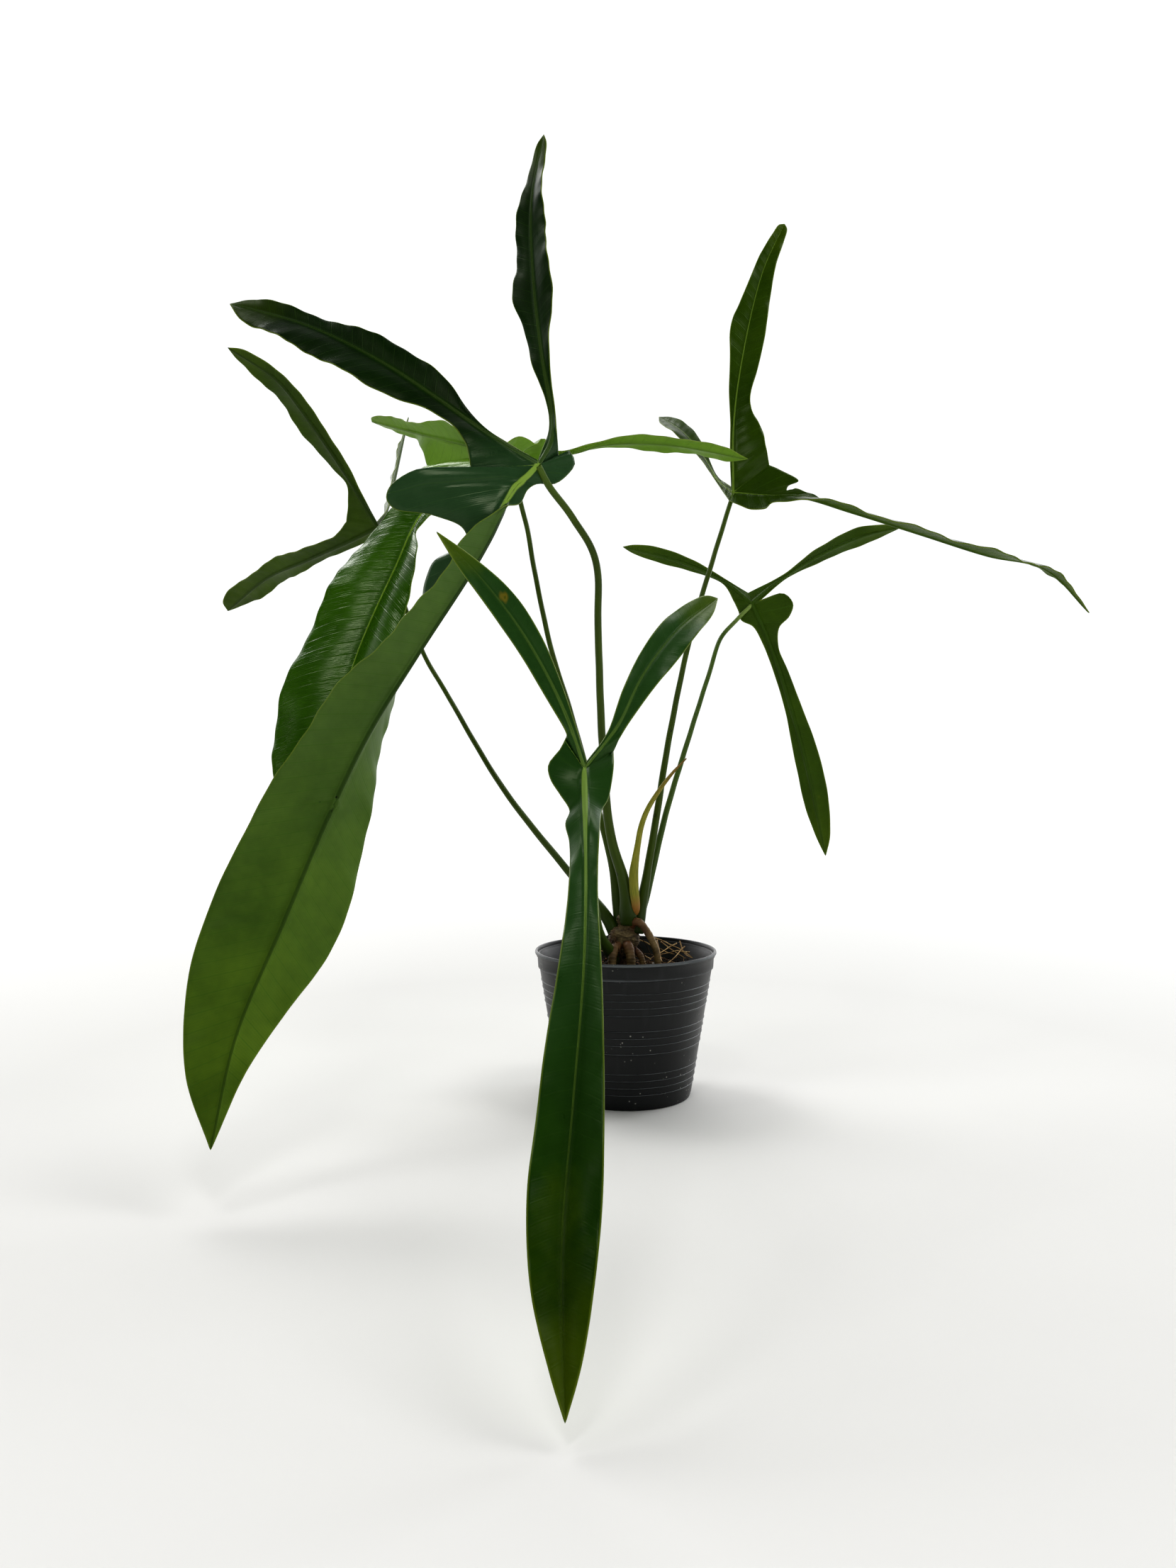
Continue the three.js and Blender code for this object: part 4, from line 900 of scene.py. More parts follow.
def petioleMaterial(name, look):
    # smooth green stalk skin, olive, faintly streaked along and dotted with small dark-ringed pores
    material, tree, shader = newMaterial(name, Specular_IOR_Level=0.25, IOR=1.45)
    where = addNode(tree, "TexCoord").outputs["Object"]
    place, turn = (addNode(tree, "Attribute", attribute_name=key).outputs["Fac"] for key in ("place", "turn"))
    unrolled = addNode(tree, "CombineXYZ", [turn, place])
    streaked = addNode(tree, "Mapping", {"Vector": unrolled, "Scale": (1.6, 9.0, 1.0)})
    streak = addNode(tree, "TexNoise", {"Vector": streaked, "Scale": 1.0, "Detail": 3.0})
    cloud = addNode(tree, "TexNoise", {"Vector": where, "Scale": 1 / 0.03, "Detail": 2.0})
    colour = addNode(tree, "Mix", [cloud, *look["tones"]], data_type="RGBA")
    darker = addNode(tree, "MapRange", [streak, 0.3, 0.7, 0.85, 1.12])
    colour = addNode(tree, "Mix", [1.0, colour, darker], data_type="RGBA", blend_type="MULTIPLY")
    colour = overlay(tree, colour, look["foot"], place, 0.0, 0.12, 0.55, 0.0)
    # a lighter head; on the pale stalks of D and F it is painted glare
    colour = overlay(tree, colour, look["head"], place, 0.86, 1.0, 0.0, look["headShare"])
    # pores about 18 mm apart: a dark ring 2 mm across with a lighter middle
    pores = addNode(tree, "TexVoronoi", {"Vector": where, "Scale": 1 / 0.018, "Randomness": 1.0})
    ring = addNode(tree, "MapRange", [pores, 0.03, 0.05])
    ringEnd = addNode(tree, "MapRange", [pores, 0.06, 0.085, 1.0, 0.0])
    ring = addNode(tree, "Math", [ring, ringEnd], operation="MULTIPLY")
    ring = addNode(tree, "Math", [ring, 0.8], operation="MULTIPLY")
    colour = addNode(tree, "Mix", [ring, colour, "#1c260a"], data_type="RGBA")
    rough = addNode(tree, "MapRange", [streak, 0.2, 0.8, 0.34, 0.5])
    finishMaterial(tree, shader, colour, rough, [0.4, 0.0001, streak])
    return material


stalkSkin = petioleMaterial("green stalk", greenStalk)
paleStalkSkin = petioleMaterial("pale green stalk", paleStalk)
for letter, petiole in petioles.items():
    makePetiole("stalk_" + letter, petiole, paleStalkSkin if letter in "DF" else stalkSkin,
                "petiole_" + letter.lower())


# stem, roots and sheath

stem = {
    "path": [[-3, 0, 60], [-3, 0, 90], [-2.8, 0, 104], [-1, 0, 111], [1.5, 0, 118], [1.5, 0, 127.5]],
    "radii": [[0, 7], [0.45, 9.2], [0.62, 9.6], [0.7, 10.4], [0.76, 11.2], [0.81, 10.4], [0.86, 7.4],
              [0.91, 7.2], [0.945, 8.2], [0.975, 8.0], [1, 6.8]],
    "rings": [0.5, 0.57, 0.64, 0.7, 0.78, 0.83, 0.93, 0.98],   # leaf scars, as shares of the stem's length
    "ringHigh": 0.45, "ringHalf": 0.006, "along": 200, "around": 96,
}
roots = {
    "along": 110, "around": 28,
    "tubes": [
        ([[3, -3, 119], [6, -7, 123.5], [10, -10, 123], [16, -14, 115.5], [20.5, -16.5, 106],
          [22.5, -17.5, 94], [22.5, -18, 82]], [[0, 3.4], [0.15, 2.9], [0.35, 2.5], [1, 2.4]]),
        ([[-4, -6, 106], [-7, -11.5, 106.5], [-9.5, -15.5, 101], [-10.5, -16.5, 91], [-10.5, -16.5, 82]],
         [[0, 3.2], [0.5, 3.1], [1, 2.6]]),
        ([[0, -7, 107], [1.5, -12.5, 107], [3, -15.5, 100], [3.5, -16, 90], [3.5, -16, 82]],
         [[0, 3.4], [0.5, 3.3], [1, 2.8]]),
        ([[5, -6, 104], [10, -8, 100], [12.5, -9.5, 92], [13, -10, 82]], [[0, 2.5], [1, 1.8]]),
    ],
}
sheath = {
    "path": [[6.5, -6, 129], [7, -9.5, 134], [5.6, -11, 148], [5.4, -11, 158], [6.6, -11, 168],
             [8.4, -11, 179], [10.6, -11, 191], [15, -10, 203], [23, -7, 216], [34, -2, 230], [44, 3, 240]],
    "radii": [[0, 2.2], [0.04, 2.7], [0.14, 3.2], [0.22, 3.3], [0.32, 2.6], [0.41, 2.1], [0.52, 1.9],
              [0.8, 1.4], [1, 0.4]],
    "slim": 0.94, "keel": 0.35, "flat": 0.2, "along": 120, "around": 36,
}


def makeStem(material):
    # stem radius + ridges of 0.45 mm at the leaf scars + shallow cork lumps and fine cross lines
    def scars(u, a):
        ridges = sum(np.exp(-((u - r - 0.006 * np.sin(a + 9 * r)) / stem["ringHalf"])**2)
                     for r in stem["rings"])
        bark = np.sin(5 * a + 30 * u) * np.sin(23 * u) + 0.6 * np.sin(17 * a + 70 * u)
        return stem["ringHigh"] * ridges + 0.2 * bark + 0.12 * np.sin(300 * u + 2 * np.sin(3 * a))

    radii = readKnots(stem["radii"], np.linspace(0, 1, stem["along"]))
    points, faces, _ = sweep(stem["path"], radii, stem["around"], reliefFor=scars)
    return makePiece("corky_stem", points, faces, material, ["stem"])


def makeRoots(material):
    # thick aerial roots: cross ridges of about 0.1 mm on a slowly changing radius
    tubes = []
    for number, (path, radii) in enumerate(roots["tubes"]):
        def knots(u, a, n=number):
            knot = 0.12 * np.sin(u * 21 + n) * np.cos(2 * a + u * 9)
            return knot + 0.08 * np.sin(u * 95 + 1.5 * np.sin(a + n))
        along = readKnots(radii, np.linspace(0, 1, roots["along"]))
        tubes.append(sweep(path, along, roots["around"], ref=(1, 0, 0), reliefFor=knots))
    return joinTubes("aerial_roots", tubes, material, keepPlace=True)


def makeSheath(material):
    # keeled papery sheath: a flattened section with two keels that fade upwards,
    # radius + keel max(cos 2a, 0)^4 (1 - u) + fine ripples
    def keels(u, a):
        return sheath["keel"] * np.maximum(np.cos(2 * a), 0)**4 * (1 - u) + 0.08 * np.sin(19 * a + 8 * u)

    radii = readKnots(sheath["radii"], np.linspace(0, 1, sheath["along"])) * sheath["slim"]
    points, faces, values = sweep(sheath["path"], radii, sheath["around"], flat=sheath["flat"],
                                  reliefFor=keels)
    return makePiece("cataphyll_sheath", points, faces, material, ["cataphyll"], values)


def barkMaterial():
    # corky aroid stem: grey-brown, ringed, with darker seams
    material, tree, shader = newMaterial("corky stem", Specular_IOR_Level=0.25)
    where = addNode(tree, "TexCoord").outputs["Object"]
    fine = addNode(tree, "TexNoise", {"Vector": where, "Scale": 1 / 0.004, "Detail": 5.0, "Roughness": 0.6})
    cloud = addNode(tree, "TexNoise", {"Vector": where, "Scale": 1 / 0.014, "Detail": 2.0})
    colour = overlay(tree, "#3c3020", "#80704e", fine, 0.35, 0.65)
    colour = overlay(tree, colour, "#5a3620", cloud, 0.45, 0.7, 0.0, 0.5)
    squashed = addNode(tree, "Mapping", {"Vector": where, "Scale": (0.15, 0.15, 1)})
    rings = addNode(tree, "TexNoise", {"Vector": squashed, "Scale": 1 / 0.0025, "Detail": 2.0})
    colour = overlay(tree, colour, "#1d140d", rings, 0.55, 0.7, 0.0, 0.75)
    finishMaterial(tree, shader, colour, 0.7, [0.6, 0.0003, fine])
    return material


def rootMaterial():
    # smooth aerial root skin: olive-brown, redder where it leaves the stem, with fine cross cracks
    material, tree, shader = newMaterial("aerial root skin", Specular_IOR_Level=0.3)
    where = addNode(tree, "TexCoord").outputs["Object"]
    place = addNode(tree, "Attribute", attribute_name="place").outputs["Fac"]
    cloud = addNode(tree, "TexNoise", {"Vector": where, "Scale": 1 / 0.006, "Detail": 3.0})
    colour = overlay(tree, "#5a4a2e", "#8a744c", cloud, 0.35, 0.65)
    colour = overlay(tree, colour, "#60381e", place, 0.12, 0.5, 0.8, 0.0)
    cracks = addNode(tree, "Math", [place, 34.0], operation="MULTIPLY")
    wander = addNode(tree, "Math", [cloud, 2.5, cracks], operation="MULTIPLY_ADD")
    wander = addNode(tree, "Math", [wander, 0.5], operation="PINGPONG")
    colour = overlay(tree, colour, "#2c1d10", wander, 0.0, 0.08, 0.5, 0.0)
    finishMaterial(tree, shader, colour, 0.5, [0.4, 0.0002, cloud])
    return material


def sheathMaterial():
    # papery sheath: yellow-green with fine lengthwise streaks, tan at the foot and brown at the tip
    material, tree, shader = newMaterial("papery sheath", Specular_IOR_Level=0.35)
    place, turn = (addNode(tree, "Attribute", attribute_name=key).outputs["Fac"] for key in ("place", "turn"))
    unrolled = addNode(tree, "CombineXYZ", [turn, place])
    stretched = addNode(tree, "Mapping", {"Vector": unrolled, "Scale": (3.0, 2.0, 1.0)})
    streak = addNode(tree, "TexNoise", {"Vector": stretched, "Scale": 5.0, "Detail": 4.0})
    colour = overlay(tree, "#5a6408", "#a8a236", streak, 0.35, 0.65)
    colour = overlay(tree, colour, "#a8743a", place, 0.05, 0.13, 0.9, 0.0)
    colour = overlay(tree, colour, "#7c5420", place, 0.62, 0.95, 0.0, 0.85)
    finishMaterial(tree, shader, colour, 0.5, [0.6, 0.0002, streak])
    return material


makeStem(barkMaterial())
makeRoots(rootMaterial())
makeSheath(sheathMaterial())
print("stem done")


# pot

pot = {
    "rimRadius": 65, "baseRadius": 46.5, "height": 103, "wall": 1.6, "floor": 2, "footRound": 1.5,
    "lipHeight": 4, "lipWidth": 4.6, "lipDepth": 5, "lipOut": 2.2, "band": 12, "bandStep": 1,
    "rings": [11, 16, 21, 26, 40, 46, 51, 56, 67, 72, 77, 82], "ringOut": 0.4, "ringHalf": 0.4,
    "drainHoles": 6, "drainRadius": 4, "drainCircle": 31, "drainSides": 24,
    "edgeRound": 0.35, "sideSteps": 50, "around": 288, "sharpAngle": 38,
}


def innerRadius(z):
    # the pot's inside is a cone from its floor to the foot of its lip
    foot, top = pot["baseRadius"] - pot["wall"] - 0.6, pot["rimRadius"] - pot["lipWidth"]
    return foot + (top - foot) * (z - pot["floor"]) / (pot["height"] - pot["lipDepth"] - pot["floor"])


def potProfile():
    # [radius, height, crest] points up the outside, over the rolled lip and down the inside; each ring is a
    # raised cosine, and crest is how much painted highlight a spot gets, 1 on a ring's top
    top, rim = pot["height"], pot["rimRadius"]
    bandFoot, lipFoot = top - pot["band"], top - pot["lipHeight"]
    outerTop = rim - pot["lipOut"] - pot["bandStep"]
    bevel = np.linspace(0, math.pi / 2, 6)
    foot = np.stack([pot["baseRadius"] + pot["footRound"] * (np.sin(bevel) - 1),
                     pot["footRound"] * (1 - np.cos(bevel))], 1)
    z = np.linspace(pot["footRound"], bandFoot - 0.6, pot["sideSteps"])[1:]
    near = np.array(pot["rings"])[:, None] + pot["ringHalf"] * np.array([-1, -0.6, -0.25, 0.0, 0.25, 0.6, 1])
    z = np.unique(np.concatenate([z, near.ravel()]).round(3))
    r = pot["baseRadius"] + (outerTop - pot["baseRadius"]) * z / bandFoot
    crest = sum(0.5 + 0.5 * np.cos(math.pi * np.clip((z - ring) / pot["ringHalf"], -1, 1))
                for ring in pot["rings"])
    side = np.stack([r + pot["ringOut"] * crest, z, crest], 1)
    bandRadius, turn = outerTop + pot["bandStep"], pot["edgeRound"]
    step = np.linspace(0, math.pi / 2, 5)
    band = np.stack([bandRadius - turn + turn * np.sin(step), bandFoot + turn - turn * np.cos(step)], 1)
    upBand = [[bandRadius + 0.15, bandFoot + 3], [bandRadius + 0.4, lipFoot - 0.8]]
    under = [[rim - 1.1, lipFoot + 0.05], [rim - 0.9, top - 2.7]]
    roll = np.linspace(-math.pi / 2, math.pi / 2, 9)
    lip = np.stack([rim - 0.8 + 0.8 * np.cos(roll), top - 1.3 + 1.3 * np.sin(roll)], 1)
    inside = [[rim - 1.6, top - 0.2], [rim - 2.1, top - 0.9], [rim - 2.3, top - 2.4], [rim - 3.2, top - 2.7],
              [rim - 3.5, top - 3.2], [rim - 3.8, top - 4.2], [rim - pot["lipWidth"], top - pot["lipDepth"]],
              *([innerRadius(high), high] for high in (60.0, 30.0, 4.0)),
              [innerRadius(2.6) - 0.6, 2.4], [innerRadius(2.0) - 1.6, pot["floor"]]]
    plain = [np.pad(np.array(part), ((0, 0), (0, 1))) for part in (foot, band, upBand, under, lip, inside)]
    # the band and the lip's top take some painted highlight too
    plain[1][:, 2], plain[4][3:7, 2] = 0.7, 0.8
    return np.concatenate([plain[0], side, *plain[1:]])


def drainCutter():
    # six upright plugs round the drain circle
    sides, count = pot["drainSides"], pot["drainHoles"]
    a = np.linspace(0, fullTurn, sides, endpoint=False)
    spot = fullTurn * (np.arange(count) + 0.5) / count
    centre = pot["drainCircle"] * np.stack([np.cos(spot), np.sin(spot)], 1)
    ring = centre[:, None] + pot["drainRadius"] * np.stack([np.cos(a), np.sin(a)], 1)
    ends = [np.concatenate([ring, np.full((count, sides, 1), high)], 2) for high in (-5.0, 6.0)]
    points = np.stack(ends, 1).reshape(-1, 3) * millimetre
    faces = []
    for k in range(count):
        foot = np.arange(sides) + 2 * sides * k
        head = foot + sides
        faces += np.stack([foot, np.roll(foot, -1), np.roll(head, -1), head], 1).tolist()
        faces += [foot[::-1].tolist(), head.tolist()]
    mesh = bpy.data.meshes.new("drain cutter")
    mesh.from_pydata(points.tolist(), [], faces)
    return addObject("drain cutter", mesh)


def makePot(material):
    # the profile turned about the axis, closed by flat discs at its foot and its floor, less the drain holes
    profile = potProfile()
    a = np.linspace(0, fullTurn, pot["around"], endpoint=False)
    grid = np.stack([profile[:, :1] * np.cos(a), profile[:, :1] * np.sin(a), profile[:, 1:2] + 0 * a], -1)
    points = np.concatenate([grid.reshape(-1, 3), [[0, 0, 0], [0, 0, pot["floor"]]]])
    crest = np.concatenate([np.repeat(profile[:, 2], len(a)), [0, 0]])
    faces = tubeFaces(*grid.shape[:2])
    piece = makePiece("nursery_pot", points, faces, material, ["pot"], {"crest": crest})
    cutter = drainCutter()
    cut = piece.modifiers.new("drain holes", "BOOLEAN")
    cut.object = cutter
    cut.solver = "EXACT"
    graph = bpy.context.evaluated_depsgraph_get()
    graph.update()
    mesh = bpy.data.meshes.new_from_object(piece.evaluated_get(graph))
    piece.modifiers.clear()
    bpy.data.objects.remove(cutter)
    mesh.polygons.foreach_set("use_smooth", np.ones(len(mesh.polygons), bool))
    mesh.set_sharp_from_angle(angle=math.radians(pot["sharpAngle"]))
    piece.data = mesh
    return piece


def potMaterial():
    # injection moulded recycled polypropylene: charcoal, faintly mottled, satin, with dust and water marks
    material, tree, shader = newMaterial("moulded polypropylene", Specular_IOR_Level=0.35, IOR=1.49)
    where = addNode(tree, "TexCoord").outputs["Object"]
    cloud = addNode(tree, "TexNoise", {"Vector": where, "Scale": 1 / 0.025, "Detail": 4.0, "Roughness": 0.6})
    grain = addNode(tree, "TexNoise", {"Vector": where, "Scale": 1 / 0.0011, "Detail": 3.0})
    # a painted grey highlight on the rings' crests, the band and the lip's top, patchy
    crest = addNode(tree, "Attribute", attribute_name="crest").outputs["Fac"]
    highlightPatchiness = addNode(tree, "MapRange", [cloud, 0.3, 0.6, 0.55, 1.0])
    paintedHighlight = addNode(tree, "Math", [crest, highlightPatchiness], operation="MULTIPLY")
    colour = addNode(tree, "Mix", [cloud, "#07090a", "#0d1112"], data_type="RGBA")
    colour = overlay(tree, colour, "#6b7072", paintedHighlight, 0.35, 0.8, 0.0, 0.8)
    # pale runs down the wall, and dust specks in patches
    stretched = addNode(tree, "Mapping", {"Vector": where, "Scale": (1.0, 1.0, 0.08)})
    run = addNode(tree, "TexNoise", {"Vector": stretched, "Scale": 1 / 0.006, "Detail": 3.0})
    colour = overlay(tree, colour, "#2c2f30", run, 0.56, 0.75, 0.0, 0.22)
    specks = addNode(tree, "TexVoronoi", {"Vector": where, "Scale": 1 / 0.0042, "Randomness": 1.0})
    specks = addNode(tree, "MapRange", [specks, 0.09, 0.16, 1.0, 0.0])
    patch = addNode(tree, "TexNoise", {"Vector": where, "Scale": 1 / 0.03, "Detail": 1.0})
    patch = addNode(tree, "MapRange", [patch, 0.5, 0.62, 0.0, 0.9])
    dust = addNode(tree, "Math", [specks, patch], operation="MULTIPLY")
    colour = addNode(tree, "Mix", [dust, colour, "#8f8e86"], data_type="RGBA")
    rough = addNode(tree, "MapRange", [cloud, 0.25, 0.75, 0.3, 0.46])
    finishMaterial(tree, shader, colour, rough, [0.3, 0.00015, grain])
    return material


makePot(potMaterial())


# potting mix and what lies on it

soil = {
    "top": 88, "edge": 57.0, "gap": 0.35, "fall": 2.5, "footRadius": 20.0, "rings": 66, "around": 200,
    "mound": [[0, 2.2], [10, 2.2], [22, 1.2], [34, -0.5], [46, 0.4], [57, -0.6]],    # [radius, height]
}
# [count, sizes, shape, look, seed, how far they sink], where no look means peat
scattered = {
    "peat_crumbs": (1500, (1.2, 4.5), (1, 0.8, 0.6), None, 11, 0.35),
    "bark_chips": (200, (2.5, 8), (1, 0.55, 0.22), ("bark", "#3a2517", "#7a5738", 9), 12, 0.35),
    "perlite": (30, (1.2, 3.4), (1, 0.85, 0.75), ("perlite", "#b8b2a2", "#dcd8cc", 4), 13, 0.2),
}
# [count, seed, sector in radians, lengths, how high they arch, radius]
fibres = {
    "coir_fibres": (16, 14, (-0.6, 2.2), (14, 34), 5.0, 0.22),
    "fine_roots": (24, 15, (2.2, 5.7), (8, 18), 1.5, 0.16),
}
straws = {
    "seed": 17, "bow": 2.4, "kink": 0.5, "radius": 0.5,
    "lines": [      # from the pot's wall down to the mix
        [[24, 49, 103.5], [50, 20, 94]], [[28, 46, 101], [45, 24, 92]], [[42, 37, 103], [50, 16, 94]],
        [[45, 30, 100], [31, 8, 91.5]], [[25, 48, 102], [27, 16, 91]], [[8, 32, 99], [19, 18, 92]],
        [[40, 40, 101], [18, 24, 91]], [[12, 52, 102], [38, 34, 93]], [[48, 24, 97], [24, 34, 91]],
        [[-30, 44, 100], [-8, 40, 92]], [[-46, 20, 98], [-24, 34, 91]], [[-40, -30, 97], [-18, -42, 91]],
        [[30, -42, 98], [46, -18, 92]],
    ],
}
stemHairs = {
    "count": 22, "seed": 31, "from": [98, 115], "out": [16, 26], "turn": 1.2, "bow": 2.5, "radius": 0.3,
    "stemRadius": 9.2, "offAxis": -2, "bottom": 90.5,
}


def soilHeight(x, y):
    # mound towards the stem, the frame's broad waves and a crumbly relief that calms down at the edge
    r = np.hypot(x, y).ravel()
    wave = 0.9 * np.sin(x * 0.31 + 1.3) * np.cos(y * 0.27 - 0.4) + 0.6 * np.sin(x * 0.11 - y * 0.23)
    p = np.stack([x.ravel(), y.ravel(), 0 * x.ravel()], 1)
    crumb = 0.8 * lumps(p, 9, 3, 3) + 0.35 * np.abs(lumps(p, 3.2, 5, 2))
    calm = 1 - smoothStep(r, 50, 57)
    return (soil["top"] + readKnots(soil["mound"], r) + (wave.ravel() + crumb) * calm).reshape(x.shape)


def makeSoil(material):
    # a disc of rings that follows soilHeight, with a tapered side down to a flat foot
    a = np.linspace(0, fullTurn, soil["around"], endpoint=False)
    edge = innerRadius(soil["top"]) - soil["gap"]
    r = np.linspace(0, 1, soil["rings"] + 1)[1:] * (edge - 1.2)
    x, y = r[:, None] * np.cos(a), r[:, None] * np.sin(a)
    foot = pot["floor"] + soil["gap"]
    shell = [(edge, soil["top"] - soil["fall"]), (innerRadius(foot) - soil["gap"], foot),
             (soil["footRadius"], foot)]
    walls = [np.stack([q * np.cos(a), q * np.sin(a), np.full(len(a), h)], -1) for q, h in shell]
    grid = np.concatenate([np.stack([x, y, soilHeight(x, y)], -1), np.stack(walls)])
    quads, fans = tubeFaces(*grid.shape[:2])
    centre = np.array([[0, 0, soilHeight(np.zeros(1), np.zeros(1))[0]], [0, 0, foot]])
    points = np.concatenate([grid.reshape(-1, 3), centre])
    # the rings start at the middle of the top, so the faces are turned over
    faces = [quads[:, [0, 3, 2, 1]], fans[:, [0, 2, 1]]]
    return makePiece("potting_soil", points, faces, material, ["soil"])


def icosahedron():
    # 12 unit corners from the golden ratio, and 20 triangles
    g = (1 + math.sqrt(5)) / 2
    corners = np.array([[-1, g, 0], [1, g, 0], [-1, -g, 0], [1, -g, 0], [0, -1, g], [0, 1, g], [0, -1, -g],
                        [0, 1, -g], [g, 0, -1], [g, 0, 1], [-g, 0, -1], [-g, 0, 1]])
    sides = np.array([[0, 11, 5], [0, 5, 1], [0, 1, 7], [0, 7, 10], [0, 10, 11], [1, 5, 9], [5, 11, 4],
                      [11, 10, 2], [10, 7, 6], [7, 1, 8], [3, 9, 4], [3, 4, 2], [3, 2, 6], [3, 6, 8],
                      [3, 8, 9], [4, 9, 5], [2, 4, 11], [6, 2, 10], [8, 6, 7], [9, 8, 1]])
    return unit(corners), sides


def scatter(name, count, sizes, shape, seed, sink, material, keepOut=10.0):
    # many small lumps on the soil: each is a battered icosahedron, stretched by shape and turned at random
    draw = np.random.default_rng(seed)
    corners, sides = icosahedron()
    outer = soil["edge"] - sizes[1] - 1.5
    r = np.sqrt(draw.uniform(keepOut**2, outer**2, count))
    a = draw.uniform(0, fullTurn, count)
    size = sizes[0] + (sizes[1] - sizes[0]) * draw.random(count)**2.2
    x, y = r * np.cos(a), r * np.sin(a)
    centre = np.stack([x, y, soilHeight(x, y) + size * (0.5 - sink) * min(shape)], 1)
    bodies = corners[None] * (1 + 0.28 * draw.normal(size=(count, 12, 1))) * np.array(shape)
    bodies = bodies * size[:, None, None] * 0.5
    # random right-angled axes, with the third one nearly upright
    lie = unit(draw.normal(size=(count, 3)))
    across = unit(np.cross(lie, draw.normal(size=(count, 3))))
    upright = unit(np.cross(lie, across) * 0.25 + np.array([0, 0, 1]))
    along = unit(np.cross(across, upright))
    axes = np.stack([along, np.cross(upright, along), upright], 1)
    points = np.einsum("nij,njk->nik", bodies, axes) + centre[:, None]
    faces = sides[None] + 12 * np.arange(count)[:, None, None]
    return makePiece(name, points.reshape(-1, 3), [faces.reshape(-1, 3)], material, smooth=False)


def joinStrands(name, paths, radius, material):
    # thin tubes with 5 sides that narrow from 1.1 to 0.65 of the radius
    tubes = [sweep(path, radius * np.linspace(1.1, 0.65, 15), 5, ref=(0.1, 0.05, 1)) for path in paths]
    return joinTubes(name, tubes, material)


def makeFibres(name, count, seed, sector, lengths, lift, radius, material):
    # bent fibres on the soil, x(t) = r + length t (cos, sin)(heading + 2 bow t)
    draw = np.random.default_rng(seed)
    t = np.linspace(-0.5, 0.5, 6)
    paths = []
    for _ in range(count):
        r, a = math.sqrt(draw.uniform(13**2, 52**2)), draw.uniform(*sector)
        heading, bow = draw.uniform(0, fullTurn), draw.uniform(-0.5, 0.5)
        reach = draw.uniform(*lengths)
        bend = heading + bow * t * 2
        x = r * math.cos(a) + reach * t * np.cos(bend)
        y = r * math.sin(a) + reach * t * np.sin(bend)
        out = np.maximum(np.hypot(x, y) / 54, 1)
        x, y = x / out, y / out
        rise = draw.uniform(0, lift) * (1 - 4 * t**2) + draw.uniform(0, lift * 0.4, 6)
        paths.append(np.stack([x, y, soilHeight(x, y) + 0.5 + rise], 1))
    return joinStrands(name, paths, radius, material)


def makeStraws(material):
    # long dry straws that lean against the pot's wall: start + (end - start) t + bow sin(pi t) + small kinks
    draw = np.random.default_rng(straws["seed"])
    t = np.linspace(0, 1, 6)[:, None]
    paths = []
    for start, end in straws["lines"]:
        bow = draw.uniform(-straws["bow"], straws["bow"], 3) * np.sin(math.pi * t)
        kink = draw.uniform(-straws["kink"], straws["kink"], (6, 3))
        paths.append(np.array(start) + (np.array(end) - np.array(start)) * t + bow + kink)
    return joinStrands("dry_straws", paths, straws["radius"], material)


def makeStemFibres(material):
    # thin dry root hairs that leave the stem between its scars and droop to the soil in an arc
    hairs = stemHairs
    draw = np.random.default_rng(hairs["seed"])
    t = np.linspace(0, 1, 6)
    paths = []
    for _ in range(hairs["count"]):
        a, high, out = draw.uniform(0, fullTurn), draw.uniform(*hairs["from"]), draw.uniform(*hairs["out"])
        turned = a + draw.uniform(-hairs["turn"], hairs["turn"]) * t
        r = hairs["stemRadius"] + (out - hairs["stemRadius"]) * t**1.2
        z = high - (high - hairs["bottom"]) * t**1.7 + draw.uniform(0, hairs["bow"]) * np.sin(math.pi * t)
        paths.append(np.stack([r * np.cos(turned) + hairs["offAxis"], r * np.sin(turned), z], 1))
    return joinStrands("stem_fibres", paths, hairs["radius"], material)


def crumbMaterial(name, dark, light, size, rough=0.92):
    # broken organic matter: two tones that change every size millimetres, dull and grainy
    material, tree, shader = newMaterial(name, Specular_IOR_Level=0.2)
    where = addNode(tree, "TexCoord").outputs["Object"]
    coarse = addNode(tree, "TexNoise", {"Vector": where, "Scale": 1 / (size * millimetre), "Detail": 2.0})
    grain = addNode(tree, "TexNoise", {"Vector": where, "Scale": 1 / 0.0009, "Detail": 4.0, "Roughness": 0.7})
    colour = overlay(tree, dark, light, coarse, 0.35, 0.65)
    shade = addNode(tree, "MapRange", [grain, 0.3, 0.7, 0.6, 1.3])
    colour = addNode(tree, "Mix", [1.0, colour, shade], data_type="RGBA", blend_type="MULTIPLY")
    finishMaterial(tree, shader, colour, rough, [0.9, 0.0006, grain])
    return material


peat = crumbMaterial("peat", "#0e0a06", "#241b12", 6)
makeSoil(peat)
for name, (count, sizes, shape, look, seed, sink) in scattered.items():
    scatter(name, count, sizes, shape, seed, sink, crumbMaterial(*look) if look else peat)
coir = crumbMaterial("coir", "#5e4428", "#a8865a", 8, 0.8)
for name, settings in fibres.items():
    makeFibres(name, *settings, coir)
makeStraws(crumbMaterial("dry straw", "#8a6a42", "#cdae7c", 9, 0.7))
makeStemFibres(crumbMaterial("dry root", "#2a1d10", "#5a432a", 6, 0.85))
print("pot and soil done")


# floor, light and camera

floorMesh = bpy.data.meshes.new("floor")
floorMesh.from_pydata([(-6, -6, 0), (6, -6, 0), (6, 6, 0), (-6, 6, 0)], [], [(0, 1, 2, 3)])
floorMaterial, floorTree, floorShader = newMaterial(
    "pale floor", Roughness=0.9, Specular_IOR_Level=0.1, Base_Color="#e6e5e2", Emission_Color="#f4f5f6")
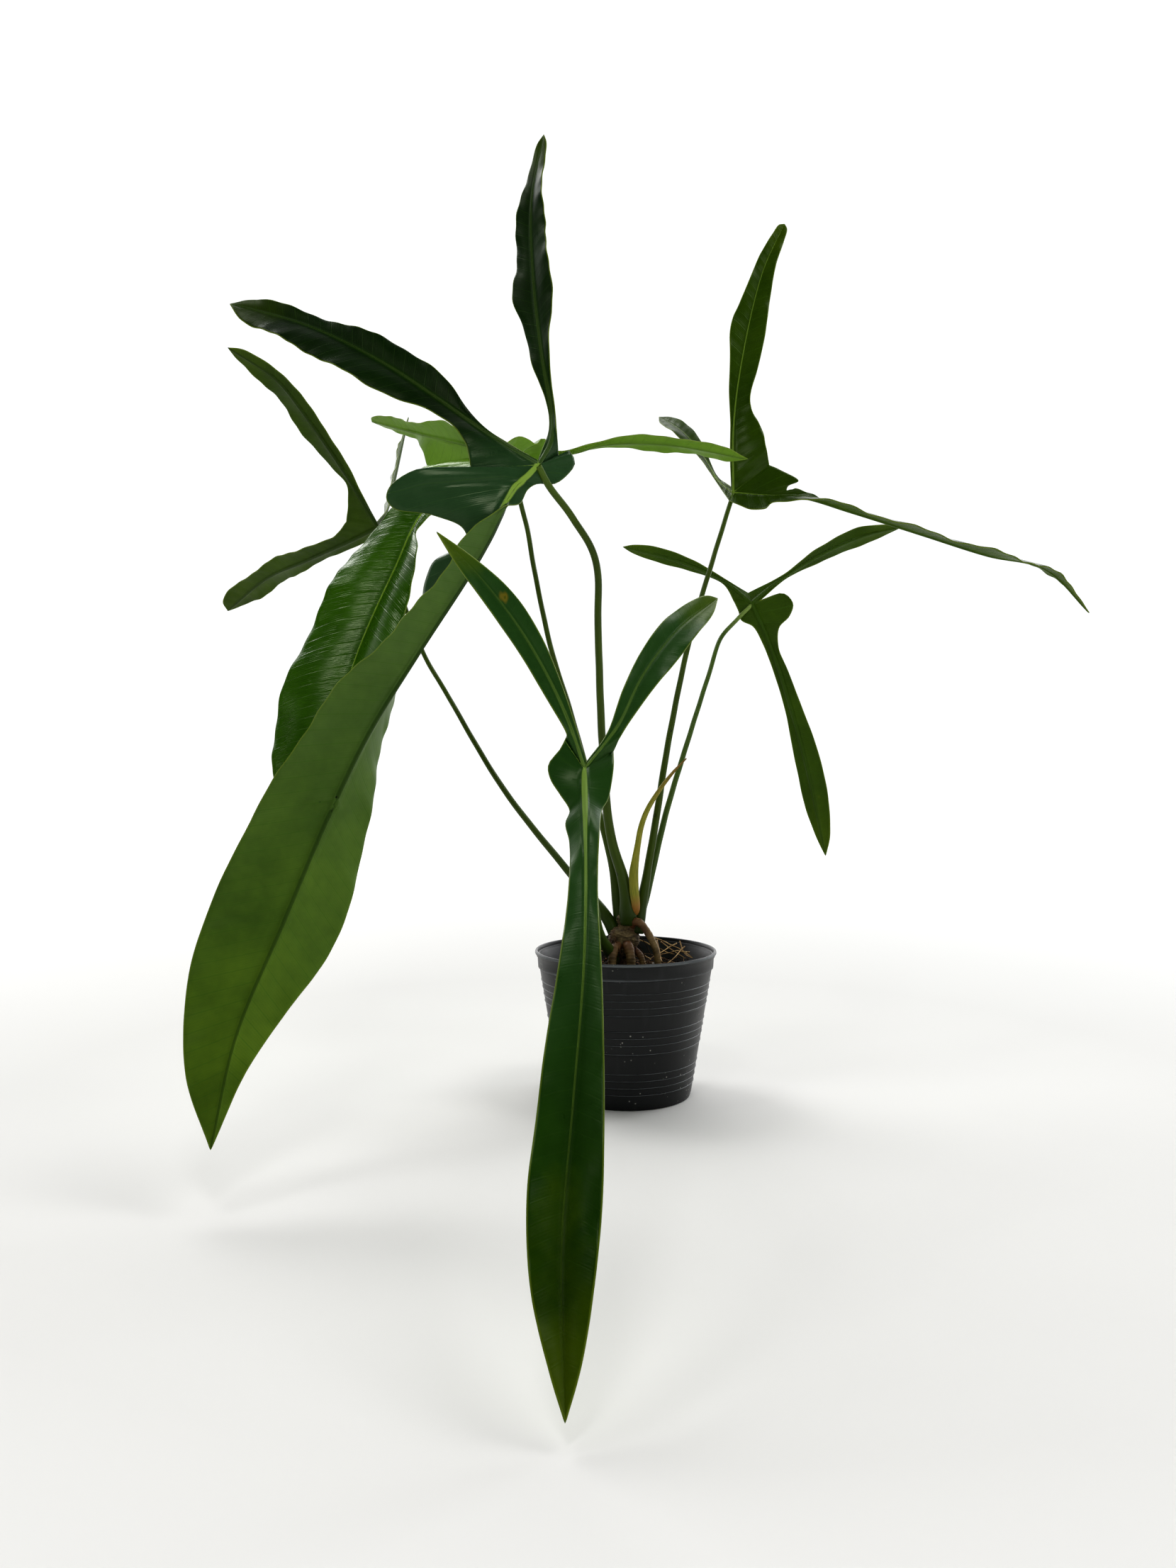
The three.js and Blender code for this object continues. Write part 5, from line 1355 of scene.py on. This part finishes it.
# it glows a little far from the plant, so that it runs into the pale wall behind
away = addNode(floorTree, "TexCoord").outputs["Object"]
away = addNode(floorTree, "VectorMath", [away], operation="LENGTH")
glow = addNode(floorTree, "MapRange", [away, 0.45, 1.8, 0.0, 0.5])
setInput(floorTree, floorShader.inputs["Emission Strength"], glow)
floorMesh.materials.append(floorMaterial)
addObject("floor", floorMesh)

# the room: a bright wall behind the plant, a dim one in front with a lighter band at eye level
room = {"behind": "#ffffff", "front": "#222526", "band": "#6a6e68", "backdrop": "#f4f5f6", "strength": 1.7}
world = bpy.data.worlds.new("studio")
bpy.context.scene.world = world
world.use_nodes = True
sky = world.node_tree
toward = addNode(sky, "SeparateXYZ", [addNode(sky, "TexCoord").outputs["Generated"]]).outputs
rise = addNode(sky, "Math", [toward["Z"]], operation="ABSOLUTE")
band = addNode(sky, "MapRange", [rise, 0.12, 0.34, 1.0, 0.0], interpolation_type="SMOOTHSTEP")
behind = addNode(sky, "MapRange", [toward["Y"], 0.0, 0.7, 0.0, 1.0], interpolation_type="SMOOTHSTEP")
walls = addNode(sky, "Mix", [band, room["front"], room["band"]], data_type="RGBA")
walls = addNode(sky, "Mix", [behind, walls, room["behind"]], data_type="RGBA")
seen = addNode(sky, "LightPath").outputs["Is Camera Ray"]
walls = addNode(sky, "Mix", [seen, walls, room["backdrop"]], data_type="RGBA")
strength = addNode(sky, "Mix", [seen, room["strength"], 1.0], data_type="FLOAT")
setInput(sky, sky.nodes["Background"].inputs["Color"], walls)
setInput(sky, sky.nodes["Background"].inputs["Strength"], strength)


def addLight(name, place, aim, size, power, colour="#ffffff"):
    # a square softbox at place that looks at aim, in metres
    light = bpy.data.lights.new(name, "AREA")
    light.shape = "SQUARE"
    light.size = size
    light.energy = power
    light.color = toLinear(colour)[:3]
    lamp = addObject(name, light)
    lamp.location = place
    toAim = np.array(aim) - np.array(place)
    level = math.hypot(toAim[0], toAim[1])
    lamp.rotation_euler = (math.atan2(level, -toAim[2]), 0, math.atan2(toAim[1], toAim[0]) - math.pi / 2)


addLight("back left", (-0.8, 0.7, 1.6), (0, 0, 0.4), 0.6, 8)
addLight("back right", (1.3, 0.9, 1.1), (0, 0, 0.4), 0.6, 4, "#f4f8ff")
addLight("top right", (0.5, -0.07, 1.2), (0, -0.2, 0.3), 0.4, 2.5)
addLight("left top", (-0.5, -0.22, 1.08), (-0.18, -0.02, 0.38), 0.16, 0.8)
addLight("left front", (-0.9, -0.75, 0.75), (-0.2, -0.05, 0.3), 0.12, 0.35)
addLight("front top", (-0.13, -0.62, 0.77), (-0.12, -0.08, 0.41), 0.16, 0.8)
addLight("front right", (1.0, -1.1, 0.45), (0, -0.1, 0.3), 0.7, 2.5)

view = {"f": 1659, "height": 2212, "horizon": 1068, "place": (-0.027, -0.846, 0.241)}
camera = bpy.data.cameras.new("camera")
camera.sensor_width = 36
camera.lens = 36 * view["f"] / view["height"]
camera.shift_y = (view["horizon"] - view["height"] / 2) / view["height"]
camera.clip_start = 0.02
eye = addObject("camera", camera)
eye.location = view["place"]
eye.rotation_euler = (math.pi / 2, 0, 0)
bpy.context.scene.camera = eye
bpy.context.scene.view_settings.view_transform = "Standard"
bpy.context.scene.view_settings.look = "Medium High Contrast"
